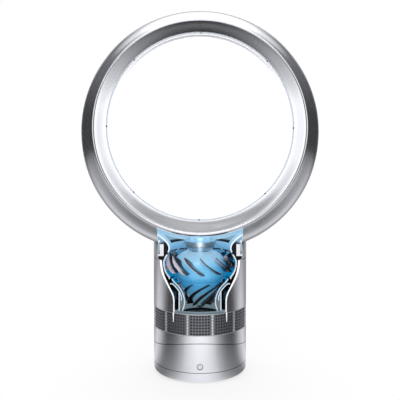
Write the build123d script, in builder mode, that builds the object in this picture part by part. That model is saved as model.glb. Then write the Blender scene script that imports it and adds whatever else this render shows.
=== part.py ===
from build123d import *
import math
import os

# A bladeless desk fan, cut away at the front to show its air path.
# Millimetres. Origin on the ground under the middle of the foot, +Z up, front towards -Y.

# ---------------------------------------------------------------- driving dimensions
body_diameter = 140.0
shell_wall = 3.2
seam_gap = 0.8            # shadow line between two outer shells
fit_gap = 0.2             # between pieces that are fixed to each other
run_gap = 0.3             # between faces that slide past each other
bore_gap = 0.05           # radial play of a shaft in its bearing

# foot
pad_lift = 1.5            # the rubber feet hold the foot plate this far up
pad_sink = 0.9
pad_diameter = 12.0
pad_count = 5
pad_inset = 20.0          # pad circle in from the outside of the body
foot_height = 15.8
foot_edge_radius = 6.0
plate_thickness = 2.5
foot_plate_inset = 7.0
foot_ledge = 5.0          # how far the foot shell reaches in over its plate
foot_ledge_thickness = 2.0
foot_boss_height = 8.0
boss_diameter = 8.0
foot_screw_inset = 11.0
gland_height = 9.5
gland_diameter = 9.0
gland_bore = 5.0
gland_depth = 6.0

# oscillation drive
spindle_flange_radius = 19.0
spindle_flange_thickness = 2.5
spindle_radius = 9.0
spindle_bore = 6.0
spindle_top = 24.0
clip_thickness = 1.0
clip_groove = 1.0         # depth of the groove in the spindle
clip_reach = 2.5
clip_opening = 60.0       # degrees left open in the clip
gear_module = 1.0
gear_teeth = 44
pinion_teeth = 12
gear_thickness = 6.0
gear_play = 0.25          # added to the distance between the two gears
tooth_tip = 0.9           # tooth height over and under the pitch circle, in modules
tooth_root = 1.25
tooth_tip_width = 0.6     # tooth widths, in modules
tooth_root_width = 1.7
bush_wall = 3.0
bush_flange_radius = 16.0
bush_flange_thickness = 2.0
glide_ring_gap = 0.6      # to the inside of the foot shell
glide_ring_wall = 3.0
swing_motor_radius = 13.0
swing_motor_height = 12.5
pinion_shaft_radius = 2.0
motor_ear = 4.0
motor_ear_thickness = 1.5
motor_edge_radius = 1.0

# base
turntable_lift = 0.5      # turntable plate over the lower edge of the base shell
base_ledge = 4.5
base_ledge_thickness = 3.0
turntable_screw_inset = 9.0
board_size_x = 30.0
board_size_y = 56.0
board_inset = 19.0        # from the outside of the body to the board
board_thickness = 1.6
board_lift = 7.0
board_post_diameter = 5.0
board_chip_height = 5.0
cradle_boss_drop = 9.0    # foot of the cradle's screw bosses below the drum face
cradle_boss_diameter = 10.0

# power button
button_height = 25.3
button_diameter = 7.0
button_flange_diameter = 9.4
button_flange_thickness = 1.2
button_setback = 0.3      # face of the button behind the front of the shell
button_travel = 1.2
bezel_diameter = 9.5
bezel_flange_diameter = 11.0
bezel_flange_thickness = 1.2
bezel_bore_gap = 0.2
button_stem_diameter = 2.4
switch_size = 4.0
switch_depth = 3.5
switch_board_depth = 9.3  # from the inside of the shell to the board
switch_board_width = 14.0
spring_wire = 0.6
spring_radius = 3.7
spring_turns = 4

# tilt: the main body rocks on a hollow drum face about a level axis across the fan
tilt_radius = 183.0
tilt_low = 45.2           # height of the lowest line of the drum face
tilt_range = 10.0
tilt_plate = 3.0
runner_offset = 24.0
slot_end_wall = 7.75      # left between a runner's slot and the rim of the cradle
runner_neck = 7.6
runner_flange = 14.0
runner_flange_thickness = 2.2
slot_side_gap = 0.4
slot_end_angle = 0.7      # spare slot beyond the tilt range
cradle_screw_inset = 10.0
shoe_boss_inset = 11.0
shoe_boss_height = 20.0

# casing
grille_bottom = 69.7
grille_height = 31.8
grille_wall = 1.8
grille_panels = 12
grille_rib = 5.0          # width of the plain strip between two panels
grille_rows = 7
grille_slat = 1.1
spigot_height = 3.0
spigot_wall = 1.4
casing_seam = 173.7
# right edge of the window seen from the front, as (half width, height over the casing seam); straight down from
# its last point
window_edge = [
    (58.7, 0.9), (57.8, -11.6), (56.3, -18.5), (53.5, -24.1), (48.8, -30.4), (43.7, -38.4), (40.5, -44.4),
    (38.9, -51.3), (38.6, -60.0)]

# impeller and its housing, as (radius, height over the casing seam) lines on the air side
bellmouth_face = [
    (37.0, -87.4), (31.4, -88.7), (27.6, -87.1), (24.6, -81.7), (22.9, -73.3),
    (23.2, -67.2), (25.6, -58.7), (29.4, -51.2), (34.4, -44.9), (39.4, -39.9), (42.0, -36.0)]
housing_face = [
    (27.9, -69.7), (28.2, -61.7), (32.4, -53.1), (37.4, -47.1), (41.4, -43.7), (45.9, -43.3)]
diffuser_face = [
    (46.6, -36.9), (45.6, -34.7), (47.4, -31.2), (51.5, -24.7), (53.6, -17.1),
    (53.9, -9.7), (52.0, -4.5), (49.2, 0.3)]
duct_face = [(47.8, 3.9), (45.9, 9.4), (46.9, 15.7), (50.5, 21.1), (55.5, 26.1)]
duct_flare_gap = 1.2      # between the top of the duct and the inside of the neck
duct_flare_rise = 33.1
duct_wall = 2.0
bellmouth_wall = 1.6
skirt_radius = 31.0       # upright wall under the impeller housing
skirt_top_rise = -55.7
web_thickness = 3.0
web_height = 12.0
web_angles = (35.0, 90.0, 145.0)
foam_inner = 36.0
foam_height = 13.0
hub_face = [(34.5, -37.5), (28.0, -48.7), (20.0, -60.7), (12.5, -70.2), (6.5, -75.2)]
hub_wall = 2.4
blade_count = 9
blade_wrap = 92.0         # degrees that a blade turns from its foot to its top
blade_bottom_rise = -72.7
blade_thickness = 3.4     # measured round the axis
blade_tip_gap = 0.9
blade_steps = 7

# motor bucket with its guide vanes
bucket_face = [
    (16.4, 7.9), (27.0, 4.3), (36.5, -3.7), (41.0, -15.7), (40.5, -25.7), (36.0, -34.5)]
bucket_wall = 2.0
bucket_floor = 2.4
vane_count = 12
vane_top_rise = 3.8
vane_tip_gap = 0.6
vane_bottom_rise = -21.2
vane_wrap = 36.0
vane_thin = 2.0
vane_thick = 4.4
vane_steps = 6
vane_phase = -90.0        # direction of the first vane's top
shaft_radius = 2.5
shaft_bottom_rise = -80.7
shaft_top_rise = 7.3
bearing_radius = 11.0
bearing_height = 5.0
bearing_seat_wall = 2.5
stator_radius = 33.0
stator_height = 20.0
magnet_radius = 16.4
magnet_gap = 0.6
nut_height = 4.5
nut_radius = 5.0
cap_disc_radius = 13.9
cap_disc_height = 5.5
cap_rim_radius = 23.5
cap_rim_rise = 23.3
cap_rim_lip = 1.6
cap_bowl_depth = 13.0
cap_foot_radius = 15.6
cap_boss_radius = 13.6
strut_radius = 1.0
strut_angles = (0.0, 90.0, 180.0)
strut_start = (21.5, 20.8)   # (radius, height over the casing seam)
strut_end = (37.0, 5.1)

# nozzle: a hollow loop on a short neck
loop_rise = 9.4           # lowest point of the loop over the casing seam
loop_radius = 178.0       # outer wall at its widest
loop_drop = 6.9           # the outer wall's circle is this far below the opening's
loop_widest = -11.0       # depth, towards the back, of the widest circle
loop_front = -57.4
loop_back = 40.0
front_inset = 23.6        # front edge of the outer wall, in from its widest radius
back_inset = 20.0
front_power = 1.8
back_power = 3.5
loop_wall = 2.5
front_rim = 3.5           # solid edge in front of the hollow
nose_radius = 1.9
nose_overlap = 0.1        # the rounded front edge bites this far into the air face
inner_wall = 1.8
# (depth, inset from the widest radius) of the air guiding face, from the front edge to the slot
inner_insets = [
    (-57.4, 27.1), (-30.0, 31.3), (2.0, 35.7), (14.0, 35.1), (20.5, 32.7), (25.0, 27.0), (26.5, 20.0)]
lip_inset = 38.1
lip_wall = 1.5
lip_front = 14.0
spacer_count = 8
spacer_angle = 1.2
spacer_length = 3.0
neck_straight = 8.0       # height of the neck's plain cylinder
neck_height = 37.9
neck_top_half_depth = 38.0
neck_top_shift = -8.0
inlet_inset = 9.0         # way for the air into the loop, in from the outside of the body
inlet_back = 28.0
duct_back = 16.0          # the duct's flare is left off behind this depth
seal_radius = 0.7
neck_window_inset = 8.0   # sides of the window where it runs on up the neck
loop_window_inset = 21.0  # top edge of the window, in from the loop's widest radius
lock_ring_wall = 6.0
lock_ring_rise = -1.2
lock_ring_height = 18.0
lock_web = 3.0

# fasteners
screw_radius = 1.45
screw_head_radius = 2.8
screw_head_height = 1.4
screw_gap = 0.1
runner_screw_sink = 1.2   # head of a screw above the face that it enters
shoe_screw_sink = 0.8
small_edge = 0.4

# ---------------------------------------------------------------- worked out from those
def over_seam(line):
    """(radius, height over the casing seam) points as (radius, height) points."""
    return [(radius, casing_seam + rise) for radius, rise in line]


body_radius = body_diameter / 2
inside_radius = body_radius - shell_wall
foot_plate_radius = body_radius - foot_plate_inset
glide_ring_outer = inside_radius - glide_ring_gap
shoe_boss_circle = body_radius - shoe_boss_inset
plate_top = pad_lift + plate_thickness
base_bottom = foot_height + seam_gap
turntable_bottom = base_bottom + turntable_lift
turntable_top = turntable_bottom + plate_thickness
gear_bottom = plate_top + spindle_flange_thickness
gear_top = gear_bottom + gear_thickness
pinion_distance = gear_module * (gear_teeth + pinion_teeth) / 2 + gear_play
pivot_height = tilt_low + tilt_radius
cradle_face = tilt_radius + seam_gap / 2
shoe_face = tilt_radius - seam_gap / 2
cradle_back = cradle_face + tilt_plate
shoe_back = shoe_face - tilt_plate
runner_face = cradle_back + run_gap
runner_back = runner_face + runner_flange_thickness
shoe_outer = inside_radius - fit_gap
slot_side = runner_offset + runner_neck / 2 + slot_side_gap
slot_length = 2 * (math.sqrt(shoe_outer**2 - slot_side**2) - slot_end_wall)
runner_half_angle = math.degrees(math.asin(slot_length / 2 / tilt_radius)) - tilt_range - slot_end_angle
runner_length = 2 * tilt_radius * math.sin(math.radians(runner_half_angle))
cradle_boss_bottom = tilt_low - cradle_boss_drop
grille_top = grille_bottom + grille_height
nozzle_bottom = casing_seam + seam_gap / 2
neck_top = nozzle_bottom + neck_height
loop_height = casing_seam + loop_rise + loop_radius + loop_drop
front_radius = loop_radius - front_inset
back_radius = loop_radius - back_inset
lip_radius = loop_radius - lip_inset
loop_window_radius = loop_radius - loop_window_inset
inner_line = [(depth, loop_radius - inset) for depth, inset in inner_insets]
casing_top = casing_seam - seam_gap / 2
window_line = over_seam(window_edge)
bellmouth_line = over_seam(bellmouth_face)
housing_line = over_seam(housing_face)
diffuser_line = over_seam(diffuser_face)
duct_line = over_seam(duct_face + [(inside_radius - duct_flare_gap, duct_flare_rise)])
hub_line = over_seam(hub_face)
bucket_line = over_seam(bucket_face)
skirt_top = casing_seam + skirt_top_rise
blade_bottom = casing_seam + blade_bottom_rise
vane_top = casing_seam + vane_top_rise
vane_bottom = casing_seam + vane_bottom_rise
shaft_bottom = casing_seam + shaft_bottom_rise
shaft_top = casing_seam + shaft_top_rise
cap_rim_height = casing_seam + cap_rim_rise
strut_ends = over_seam([strut_start, strut_end])
lock_ring_inner = (duct_line[0][0] + duct_wall + inside_radius - lock_ring_wall) / 2
lock_ring_bottom = casing_seam + lock_ring_rise
inlet_radius = body_radius - inlet_inset
lower_bearing_bottom = bucket_line[-1][1] + bucket_floor + fit_gap
upper_bearing_bottom = bucket_line[0][1] - bearing_height - fit_gap
stator_bottom = lower_bearing_bottom + bearing_height + 1.0
hub_top = hub_line[0][1]
hub_bottom = hub_line[-1][1]
screw_hole = screw_radius + screw_gap
loop_axis = Axis((0, 0, loop_height), (0, 1, 0))
low = (Align.CENTER, Align.CENTER, Align.MIN)
high = (Align.CENTER, Align.CENTER, Align.MAX)
far = 400.0               # longer than anything that a cutting shape has to pass through
quarter_turn = 90.0


# ---------------------------------------------------------------- shared shapes
def wall_outline(points, wall):
    """Closed outline of a wall that lies on the right of a smooth line."""
    face_line = Spline(*points)
    back = []
    steps = 2 * len(points)
    for step in range(steps + 1):
        direction = face_line % (step / steps)
        back.append(face_line @ (step / steps) + Vector(direction.Y, -direction.X) * wall)
    back_line = Spline(*back)
    Line(face_line @ 0, back_line @ 0)
    Line(face_line @ 1, back_line @ 1)


def radius_at(line, height):
    """Radius of a (radius, height) line at a height."""
    ordered = sorted(line, key=lambda point: point[1])
    for (low_radius, low_height), (high_radius, high_height) in zip(ordered, ordered[1:]):
        if low_height <= height <= high_height:
            share = (height - low_height) / (high_height - low_height)
            return low_radius + share * (high_radius - low_radius)
    return ordered[0][0] if height < ordered[0][1] else ordered[-1][0]


def ring(outer, inner, bottom, height, mode=Mode.ADD):
    """An upright ring in the part being built."""
    with BuildSketch(Plane.XY.offset(bottom)) as face:
        Circle(outer)
        Circle(inner, mode=Mode.SUBTRACT)
    extrude(face.sketch, amount=height, mode=mode)


def tilt_drum(radius, mode):
    """A drum about the tilt axis."""
    with Locations((0, 0, pivot_height)):
        Cylinder(radius, far, rotation=(0, 90, 0), mode=mode)


def drum_strip(inner, outer, length, middle, width):
    """A strip between two drum faces, as long and as wide as given, centred at x = middle."""
    with BuildSketch(Plane.YZ.offset(middle)) as face:
        with Locations((0, pivot_height)):
            Circle(outer)
            Circle(inner, mode=Mode.SUBTRACT)
        with Locations((0, tilt_low)):
            Rectangle(length, tilt_low, mode=Mode.INTERSECT)
    extrude(face.sketch, amount=width / 2, both=True)


def gear_face(teeth):
    """Outline of a spur gear, with a tooth on its x axis."""
    pitch_radius = gear_module * teeth / 2
    corners = []
    for tooth in range(teeth):
        middle = 2 * math.pi * tooth / teeth
        for side, reach, width in (
            (-1, -tooth_root, tooth_root_width),
            (-1, tooth_tip, tooth_tip_width),
            (1, tooth_tip, tooth_tip_width),
            (1, -tooth_root, tooth_root_width),
        ):
            radius = pitch_radius + reach * gear_module
            angle = middle + side * width * gear_module / 2 / radius
            corners.append((radius * math.cos(angle), radius * math.sin(angle)))
    with BuildLine() as outline:
        Polyline(*corners, close=True)
    make_face(outline.line.edges())


def screws(places, seat, length):
    """Screws pointing up, their heads under the height of the seat."""
    with BuildPart() as group:
        with Locations(*[(x, y, seat) for x, y in places]):
            Cylinder(screw_radius, length, align=low)
            Cylinder(screw_head_radius, screw_head_height, align=high)
    return group


def screw_holes(places, seat, length):
    """Holes for such screws, with room for their heads, in the part being built."""
    with Locations(*[(x, y, seat) for x, y in places]):
        Cylinder(screw_hole, length, align=low, mode=Mode.SUBTRACT)
        Cylinder(screw_head_radius + screw_gap, far, align=high, mode=Mode.SUBTRACT)


def circle_places(radius, count, first):
    """Evenly spaced (x, y) places on a circle; first is an angle in degrees."""
    turns = [math.radians(first + 360 * index / count) for index in range(count)]
    return [(radius * math.cos(turn), radius * math.sin(turn)) for turn in turns]


def half_shell(line, wall):
    """The back half of a thin wall turned about the fan's upright axis."""
    with BuildSketch(Plane.XZ) as face:
        with BuildLine():
            wall_outline(line, wall)
        make_face()
    revolve(face.sketch, axis=Axis.Z, revolution_arc=180)


def webs(inner, bottom, height):
    """Upright webs that reach from a duct to the inside of the casing."""
    reach = inside_radius - fit_gap - inner
    for angle in web_angles:
        turn = math.radians(angle)
        middle = inner + reach / 2
        with Locations(Location((middle * math.cos(turn), middle * math.sin(turn), bottom), (0, 0, angle))):
            Box(reach, web_thickness, height, align=low)


def twisted_blade(first, last, steps, wrap, inner_at, outer_at, thickness_at):
    """One blade, lofted through level slices that turn steadily about the upright axis."""
    with BuildPart() as blade:
        for step in range(steps):
            share = step / (steps - 1)
            height = first + share * (last - first)
            inner = inner_at(height)
            outer = outer_at(height)
            with BuildSketch(Plane.XY.offset(height)):
                with PolarLocations((inner + outer) / 2, 1, wrap * share):
                    Rectangle(outer - inner, thickness_at(share))
        loft()
    return blade.part


def loop_sections(inset):
    """(depth, radius, drop) of circles down the loop's outer wall, or of its inside face at an inset."""
    sections = []
    front_share = 1 - (front_rim / (loop_widest - loop_front) if inset else 0)
    for share in (front_share, 0.65, 0.3):
        bend = share**front_power
        depth = loop_widest + share * (loop_front - loop_widest)
        radius = loop_radius - (loop_radius - front_radius) * bend
        sections.append((depth, radius - inset, loop_drop * (1 - bend)))
    for share in (0.0, 0.45, 0.8, 1.0):
        bend = share**back_power
        depth = loop_widest + share * (loop_back - inset - loop_widest)
        radius = loop_radius - (loop_radius - back_radius) * bend
        sections.append((depth, radius - inset, loop_drop))
    return sections


def loop_solid(inset):
    """The solid inside the loop's outer wall."""
    with BuildPart() as solid:
        for depth, radius, drop in loop_sections(inset):
            with BuildSketch(Plane.XZ.offset(-depth)):
                with Locations((0, loop_height - drop)):
                    Circle(radius)
        loft()
    return solid.part


def neck_solid(inset):
    """The solid inside the neck: round where it meets the body, and narrowing to the loop's depth."""
    with BuildPart() as solid:
        with Locations((0, 0, nozzle_bottom)):
            Cylinder(body_radius - inset, neck_straight, align=low)
        slices = []
        for share in (0.0, 0.3, 0.6, 0.8, 1.0):
            bend = share**2
            half_depth = body_radius + bend * (neck_top_half_depth - body_radius)
            height = nozzle_bottom + neck_straight + share * (neck_top - nozzle_bottom - neck_straight)
            with BuildSketch(Plane.XY.offset(height)) as slice_face:
                with Locations((0, bend * neck_top_shift)):
                    Ellipse(body_radius - inset, half_depth - inset)
            slices.append(slice_face.sketch)
        loft(slices)
    return solid.part


def loop_band(points, wall):
    """A wall turned about the loop's axis, from (depth, radius) points."""
    with BuildSketch(Plane.YZ) as face:
        with BuildLine():
            wall_outline([(depth, loop_height + radius) for depth, radius in points], -wall)
        make_face()
    revolve(face.sketch, axis=loop_axis)


# ---------------------------------------------------------------- foot
foot_screw_places = circle_places(body_radius - foot_screw_inset, 4, 45)
foot_screw_seat = pad_lift + screw_head_height + screw_gap
pad_places = circle_places(body_radius - pad_inset, pad_count, -90)
gland_middle = (0, body_radius - gland_depth / 2 - button_setback, gland_height)

with BuildPart() as foot_shell:
    ring(body_radius, inside_radius, pad_lift, foot_height - pad_lift)
    ring(inside_radius + shell_wall / 2, foot_plate_radius - foot_ledge, plate_top, foot_ledge_thickness)
    ring(inside_radius + shell_wall / 2, foot_plate_radius, pad_lift, plate_thickness)
    with Locations(*[(x, y, plate_top) for x, y in foot_screw_places]):
        Cylinder(boss_diameter / 2, foot_boss_height, align=low)
    fillet(foot_shell.edges().filter_by(GeomType.CIRCLE).group_by(Axis.Z)[0].sort_by(SortBy.RADIUS)[-1],
           foot_edge_radius)
    with Locations(gland_middle):
        Cylinder(gland_diameter / 2 + fit_gap, gland_depth * 3, rotation=(90, 0, 0), mode=Mode.SUBTRACT)
    screw_holes(foot_screw_places, foot_screw_seat, far)

with BuildPart() as foot_plate:
    with Locations((0, 0, pad_lift)):
        Cylinder(foot_plate_radius - fit_gap, plate_thickness, align=low)
    with Locations(*[(x, y, pad_lift) for x, y in pad_places]):
        Cylinder(pad_diameter / 2 + screw_gap, pad_sink, align=low, mode=Mode.SUBTRACT)
    screw_holes(foot_screw_places, foot_screw_seat, far)

with BuildPart() as rubber_feet:
    with Locations(*[(x, y, 0) for x, y in pad_places]):
        Cylinder(pad_diameter / 2, pad_lift + pad_sink, align=low)
    chamfer(rubber_feet.edges().group_by(Axis.Z)[0], pad_lift / 2)

foot_screws = screws(foot_screw_places, foot_screw_seat, foot_boss_height)

with BuildPart() as cord_gland:
    with Locations(gland_middle):
        Cylinder(gland_diameter / 2, gland_depth, rotation=(90, 0, 0))
        Cylinder(gland_bore / 2, gland_depth, rotation=(90, 0, 0), mode=Mode.SUBTRACT)

with BuildPart() as turntable_spindle:
    ring(spindle_flange_radius, spindle_bore, plate_top, spindle_flange_thickness)
    ring(spindle_radius, spindle_bore, gear_bottom - fit_gap, spindle_top - gear_bottom + fit_gap)
    clip_bottom = spindle_top - 2 * clip_thickness
    ring(spindle_radius + 1, spindle_radius - clip_groove, clip_bottom, clip_thickness + fit_gap,
         mode=Mode.SUBTRACT)

with BuildPart() as spindle_clip:
    with BuildSketch(Plane.XZ):
        with Locations((spindle_radius - clip_groove + bore_gap, clip_bottom + fit_gap / 2)):
            Rectangle(clip_groove + clip_reach, clip_thickness, align=(Align.MIN, Align.MIN))
    revolve(axis=Axis.Z, revolution_arc=360 - clip_opening)

with BuildPart() as foot_gear:
    with BuildSketch(Plane.XY.offset(gear_bottom)):
        gear_face(gear_teeth)
        Circle(spindle_radius + screw_gap, mode=Mode.SUBTRACT)
    extrude(amount=gear_thickness)

with BuildPart() as glide_ring:
    glide_bottom = plate_top + foot_ledge_thickness
    ring(glide_ring_outer, glide_ring_outer - glide_ring_wall, glide_bottom,
         turntable_bottom - run_gap - glide_bottom)
    with Locations(gland_middle):
        Box(2 * gland_diameter, 4 * gland_depth, far, mode=Mode.SUBTRACT)

# ---------------------------------------------------------------- base that swings on the foot
turntable_screw_places = circle_places(body_radius - turntable_screw_inset, 6, 0)
turntable_screw_seat = turntable_bottom + screw_head_height + screw_gap
cradle_screw_places = circle_places(body_radius - cradle_screw_inset, 2, 0)
pinion_place = (0, pinion_distance)
board_offset_x = board_size_x / 2 + board_inset - body_radius
board_corners = [
    (board_offset_x + side_x * (board_size_x / 2 - board_post_diameter),
     side_y * (board_size_y / 2 - board_post_diameter))
    for side_x in (-1, 1) for side_y in (-1, 1)]
board_bottom = turntable_top + board_lift
bush_outer = spindle_radius + bush_wall

with BuildPart() as turntable_plate:
    with Locations((0, 0, turntable_bottom)):
        Cylinder(inside_radius - fit_gap, plate_thickness, align=low)
        Cylinder(bush_outer + screw_gap, plate_thickness, align=low, mode=Mode.SUBTRACT)
    with Locations(*[(x, y, turntable_top) for x, y in board_corners]):
        Cylinder(board_post_diameter / 2, board_lift, align=low)
        Cylinder(screw_hole, board_lift, align=low, mode=Mode.SUBTRACT)
    with Locations((*pinion_place, turntable_bottom)):
        Cylinder(pinion_shaft_radius * 2, plate_thickness, align=low, mode=Mode.SUBTRACT)
    screw_holes(turntable_screw_places, turntable_screw_seat, far)

with BuildPart() as turntable_bush:
    bush_bottom = gear_top + run_gap
    ring(bush_flange_radius, spindle_radius + bore_gap, bush_bottom, bush_flange_thickness)
    ring(bush_outer, spindle_radius + bore_gap, bush_bottom, clip_bottom - run_gap - bush_bottom)

turntable_screws = screws(turntable_screw_places, turntable_screw_seat, plate_thickness + base_ledge_thickness)

with BuildPart() as cradle_pocket:      # the room that the cradle takes out of the lower shell
    with Locations((0, 0, tilt_low)):
        Cylinder(inside_radius, body_diameter)
    tilt_drum(cradle_back + fit_gap / 2, Mode.INTERSECT)

with BuildPart() as lower_shell:
    shell_top = pivot_height - math.sqrt(cradle_face**2 - body_radius**2)
    ring(body_radius, inside_radius, base_bottom, shell_top + 1 - base_bottom)
    ring(inside_radius + shell_wall / 2, inside_radius - base_ledge, turntable_top, base_ledge_thickness)
    ring(inside_radius + shell_wall / 2, inside_radius - base_ledge, cradle_boss_bottom,
         shell_top - tilt_plate - cradle_boss_bottom)
    with Locations(*[(x, y, turntable_top) for x, y in turntable_screw_places]):
        Cylinder(boss_diameter / 2, 2 * base_ledge_thickness, align=low)
    with Locations(*[(x, y, cradle_boss_bottom) for x, y in cradle_screw_places]):
        Cylinder(cradle_boss_diameter / 2, cradle_boss_drop + tilt_plate, align=low)
    add(cradle_pocket.part, mode=Mode.SUBTRACT)
    tilt_drum(cradle_face, Mode.SUBTRACT)
    with Locations((0, -inside_radius, button_height)):
        Cylinder(bezel_diameter / 2 + screw_gap / 2, body_radius / 2, rotation=(90, 0, 0), mode=Mode.SUBTRACT)
        Box(2 * bezel_flange_diameter, 2 * base_ledge, bezel_flange_diameter + 1, align=(
            Align.CENTER, Align.MIN, Align.CENTER), mode=Mode.SUBTRACT)
    screw_holes(turntable_screw_places, turntable_screw_seat, plate_thickness + 2 * base_ledge_thickness)
    with Locations(*[(x, y, cradle_boss_bottom) for x, y in cradle_screw_places]):
        Cylinder(screw_hole, tilt_low, mode=Mode.SUBTRACT)

with BuildPart() as tilt_cradle:
    with Locations((0, 0, tilt_low)):
        Cylinder(inside_radius - fit_gap, body_diameter)
    tilt_drum(cradle_back, Mode.INTERSECT)
    tilt_drum(cradle_face, Mode.SUBTRACT)
    for side in (-1, 1):
        with Locations((side * runner_offset, 0, tilt_low)):
            Box(runner_neck + 2 * slot_side_gap, slot_length, body_diameter, mode=Mode.SUBTRACT)
    with Locations(*[(x, y, tilt_low) for x, y in cradle_screw_places]):
        Cylinder(screw_hole, body_diameter, mode=Mode.SUBTRACT)

cradle_screws = screws(cradle_screw_places, cradle_boss_bottom, cradle_boss_drop - seam_gap)

with BuildPart() as oscillation_motor:
    with Locations((*pinion_place, turntable_top)):
        Cylinder(swing_motor_radius, swing_motor_height, align=low)
    with Locations((*pinion_place, turntable_top + swing_motor_height / 2)):
        Box(2 * (swing_motor_radius + motor_ear), swing_motor_radius / 2, motor_ear_thickness)
    fillet(oscillation_motor.edges().filter_by(GeomType.CIRCLE).group_by(Axis.Z)[-1], motor_edge_radius)

with BuildPart() as control_board:
    with Locations((board_offset_x, 0, board_bottom)):
        Box(board_size_x, board_size_y, board_thickness, align=low)
    with Locations((board_offset_x, -board_size_y / 5, board_bottom + board_thickness)):
        Box(board_size_x / 3, board_size_x / 3, board_chip_height / 3, align=low)
    with Locations((board_offset_x - board_size_x / 6, board_size_y / 5, board_bottom + board_thickness)):
        Cylinder(board_chip_height / 2, board_chip_height, align=low)
    with Locations(*[(x, y, board_bottom) for x, y in board_corners]):
        Cylinder(screw_hole, board_thickness, align=low, mode=Mode.SUBTRACT)

with BuildPart() as board_screws:
    with Locations(*[(x, y, board_bottom + board_thickness) for x, y in board_corners]):
        Cylinder(screw_radius, board_thickness + board_lift / 2, align=high)
        Cylinder(screw_head_radius, screw_head_height, align=low)

# ---------------------------------------------------------------- power button
front = -body_radius
bezel_back = -inside_radius + fit_gap + bezel_flange_thickness + seam_gap / 2
button_flange_front = bezel_back + screw_gap
button_back = button_flange_front + button_flange_thickness
switch_board_front = -inside_radius + switch_board_depth
switch_board_height = 2 * (button_height - turntable_top - fit_gap / 2)

with BuildPart() as button_bezel:
    with BuildSketch(Plane.XZ.offset(-front - button_setback)):
        with Locations((0, button_height)):
            Circle(bezel_diameter / 2)
    extrude(amount=-(bezel_back - front - button_setback))
    with BuildSketch(Plane.XZ.offset(-bezel_back)):
        with Locations((0, button_height)):
            Circle(bezel_flange_diameter / 2)
    extrude(amount=bezel_flange_thickness)
    with Locations((0, front, button_height)):
        Cylinder(button_diameter / 2 + bezel_bore_gap, body_radius / 2, rotation=(90, 0, 0), mode=Mode.SUBTRACT)

with BuildPart() as power_button:
    with BuildSketch(Plane.XZ.offset(-front - button_setback)):
        with Locations((0, button_height)):
            Circle(button_diameter / 2)
    extrude(amount=-(button_back - front - button_setback))
    fillet(power_button.edges().group_by(Axis.Y)[0], small_edge)
    with BuildSketch(Plane.XZ.offset(-button_back)):
        with Locations((0, button_height)):
            Circle(button_flange_diameter / 2)
    extrude(amount=button_flange_thickness)
    with BuildSketch(Plane.XZ.offset(-button_back)):
        with Locations((0, button_height)):
            Circle(button_stem_diameter / 2)
    stem_length = switch_board_front - switch_depth - button_back - button_travel - fit_gap
    extrude(amount=-stem_length)

with BuildPart() as switch_board:
    with Locations((0, switch_board_front, button_height)):
        Box(switch_board_width, board_thickness, switch_board_height,
            align=(Align.CENTER, Align.MIN, Align.CENTER))
        Box(switch_size, switch_depth, switch_size, align=(Align.CENTER, Align.MAX, Align.CENTER))

spring_length = switch_board_front - button_back - button_travel - 3 * fit_gap - spring_wire

with BuildPart() as button_spring:
    with BuildLine() as spring_path:
        Helix(spring_length / spring_turns, spring_length, spring_radius, direction=(0, 1, 0),
              center=(0, switch_board_front - fit_gap - spring_wire / 2 - spring_length, button_height))
    with BuildSketch(Plane(spring_path.edge() @ 0, z_dir=spring_path.edge() % 0)):
        Circle(spring_wire / 2)
    sweep(path=spring_path.edge())

# ---------------------------------------------------------------- pinion of the oscillation drive
with BuildPart() as drive_pinion:
    with BuildSketch(Plane(origin=(*pinion_place, gear_bottom), x_dir=(0, -1, 0), z_dir=(0, 0, 1)).rotated(
            (0, 0, 180 / pinion_teeth))):
        gear_face(pinion_teeth)
    extrude(amount=gear_thickness)
    with Locations((*pinion_place, gear_top)):
        Cylinder(pinion_shaft_radius, turntable_top - gear_top - fit_gap, align=low)

# ---------------------------------------------------------------- main body: tilt parts and lower casing
shoe_screw_places = circle_places(shoe_boss_circle, 4, 45)
runner_screw_places = [
    (side * runner_offset, end * runner_length / 3) for side in (-1, 1) for end in (-1, 1)]
shoe_screw_depth = shoe_screw_places[0][1]
shoe_screw_face = pivot_height - math.sqrt(shoe_face**2 - shoe_screw_depth**2)
shoe_screw_seat = shoe_screw_face + screw_head_height + shoe_screw_sink
runner_screw_seat = pivot_height - runner_back + screw_head_height + runner_screw_sink

with BuildPart() as tilt_shoe:
    with Locations((0, 0, tilt_low)):
        Cylinder(shoe_outer, body_diameter)
    tilt_drum(shoe_face, Mode.INTERSECT)
    tilt_drum(shoe_back, Mode.SUBTRACT)
    with Locations(*[(x, y, tilt_low) for x, y in runner_screw_places + shoe_screw_places]):
        Cylinder(screw_hole, body_diameter, mode=Mode.SUBTRACT)
    with Locations(*[(x, y, shoe_screw_seat) for x, y in shoe_screw_places]):
        Cylinder(screw_head_radius + screw_gap, far, align=high, mode=Mode.SUBTRACT)

with BuildPart() as tilt_runners:
    for side in (-1, 1):
        drum_strip(runner_face, runner_back, runner_length, side * runner_offset, runner_flange)
        drum_strip(shoe_face, runner_back, runner_length, side * runner_offset, runner_neck)
    screw_holes(runner_screw_places, runner_screw_seat, far)

runner_screws = screws(runner_screw_places, runner_screw_seat, runner_face - shoe_back)
shoe_screws = screws(shoe_screw_places, shoe_screw_seat, 2.5 * tilt_plate)

with BuildPart() as shoe_bosses:
    for x, y in shoe_screw_places:
        turn = math.degrees(math.atan2(y, x))
        with Locations(Location((x, y, tilt_low), (0, 0, turn))):
            Box(inside_radius - shoe_boss_circle + shell_wall / 2, boss_diameter, shoe_boss_height,
                align=(Align.MIN, Align.CENTER, Align.MIN))
            Cylinder(boss_diameter / 2, shoe_boss_height, align=low)
    tilt_drum(shoe_back - fit_gap / 2, Mode.INTERSECT)

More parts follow.
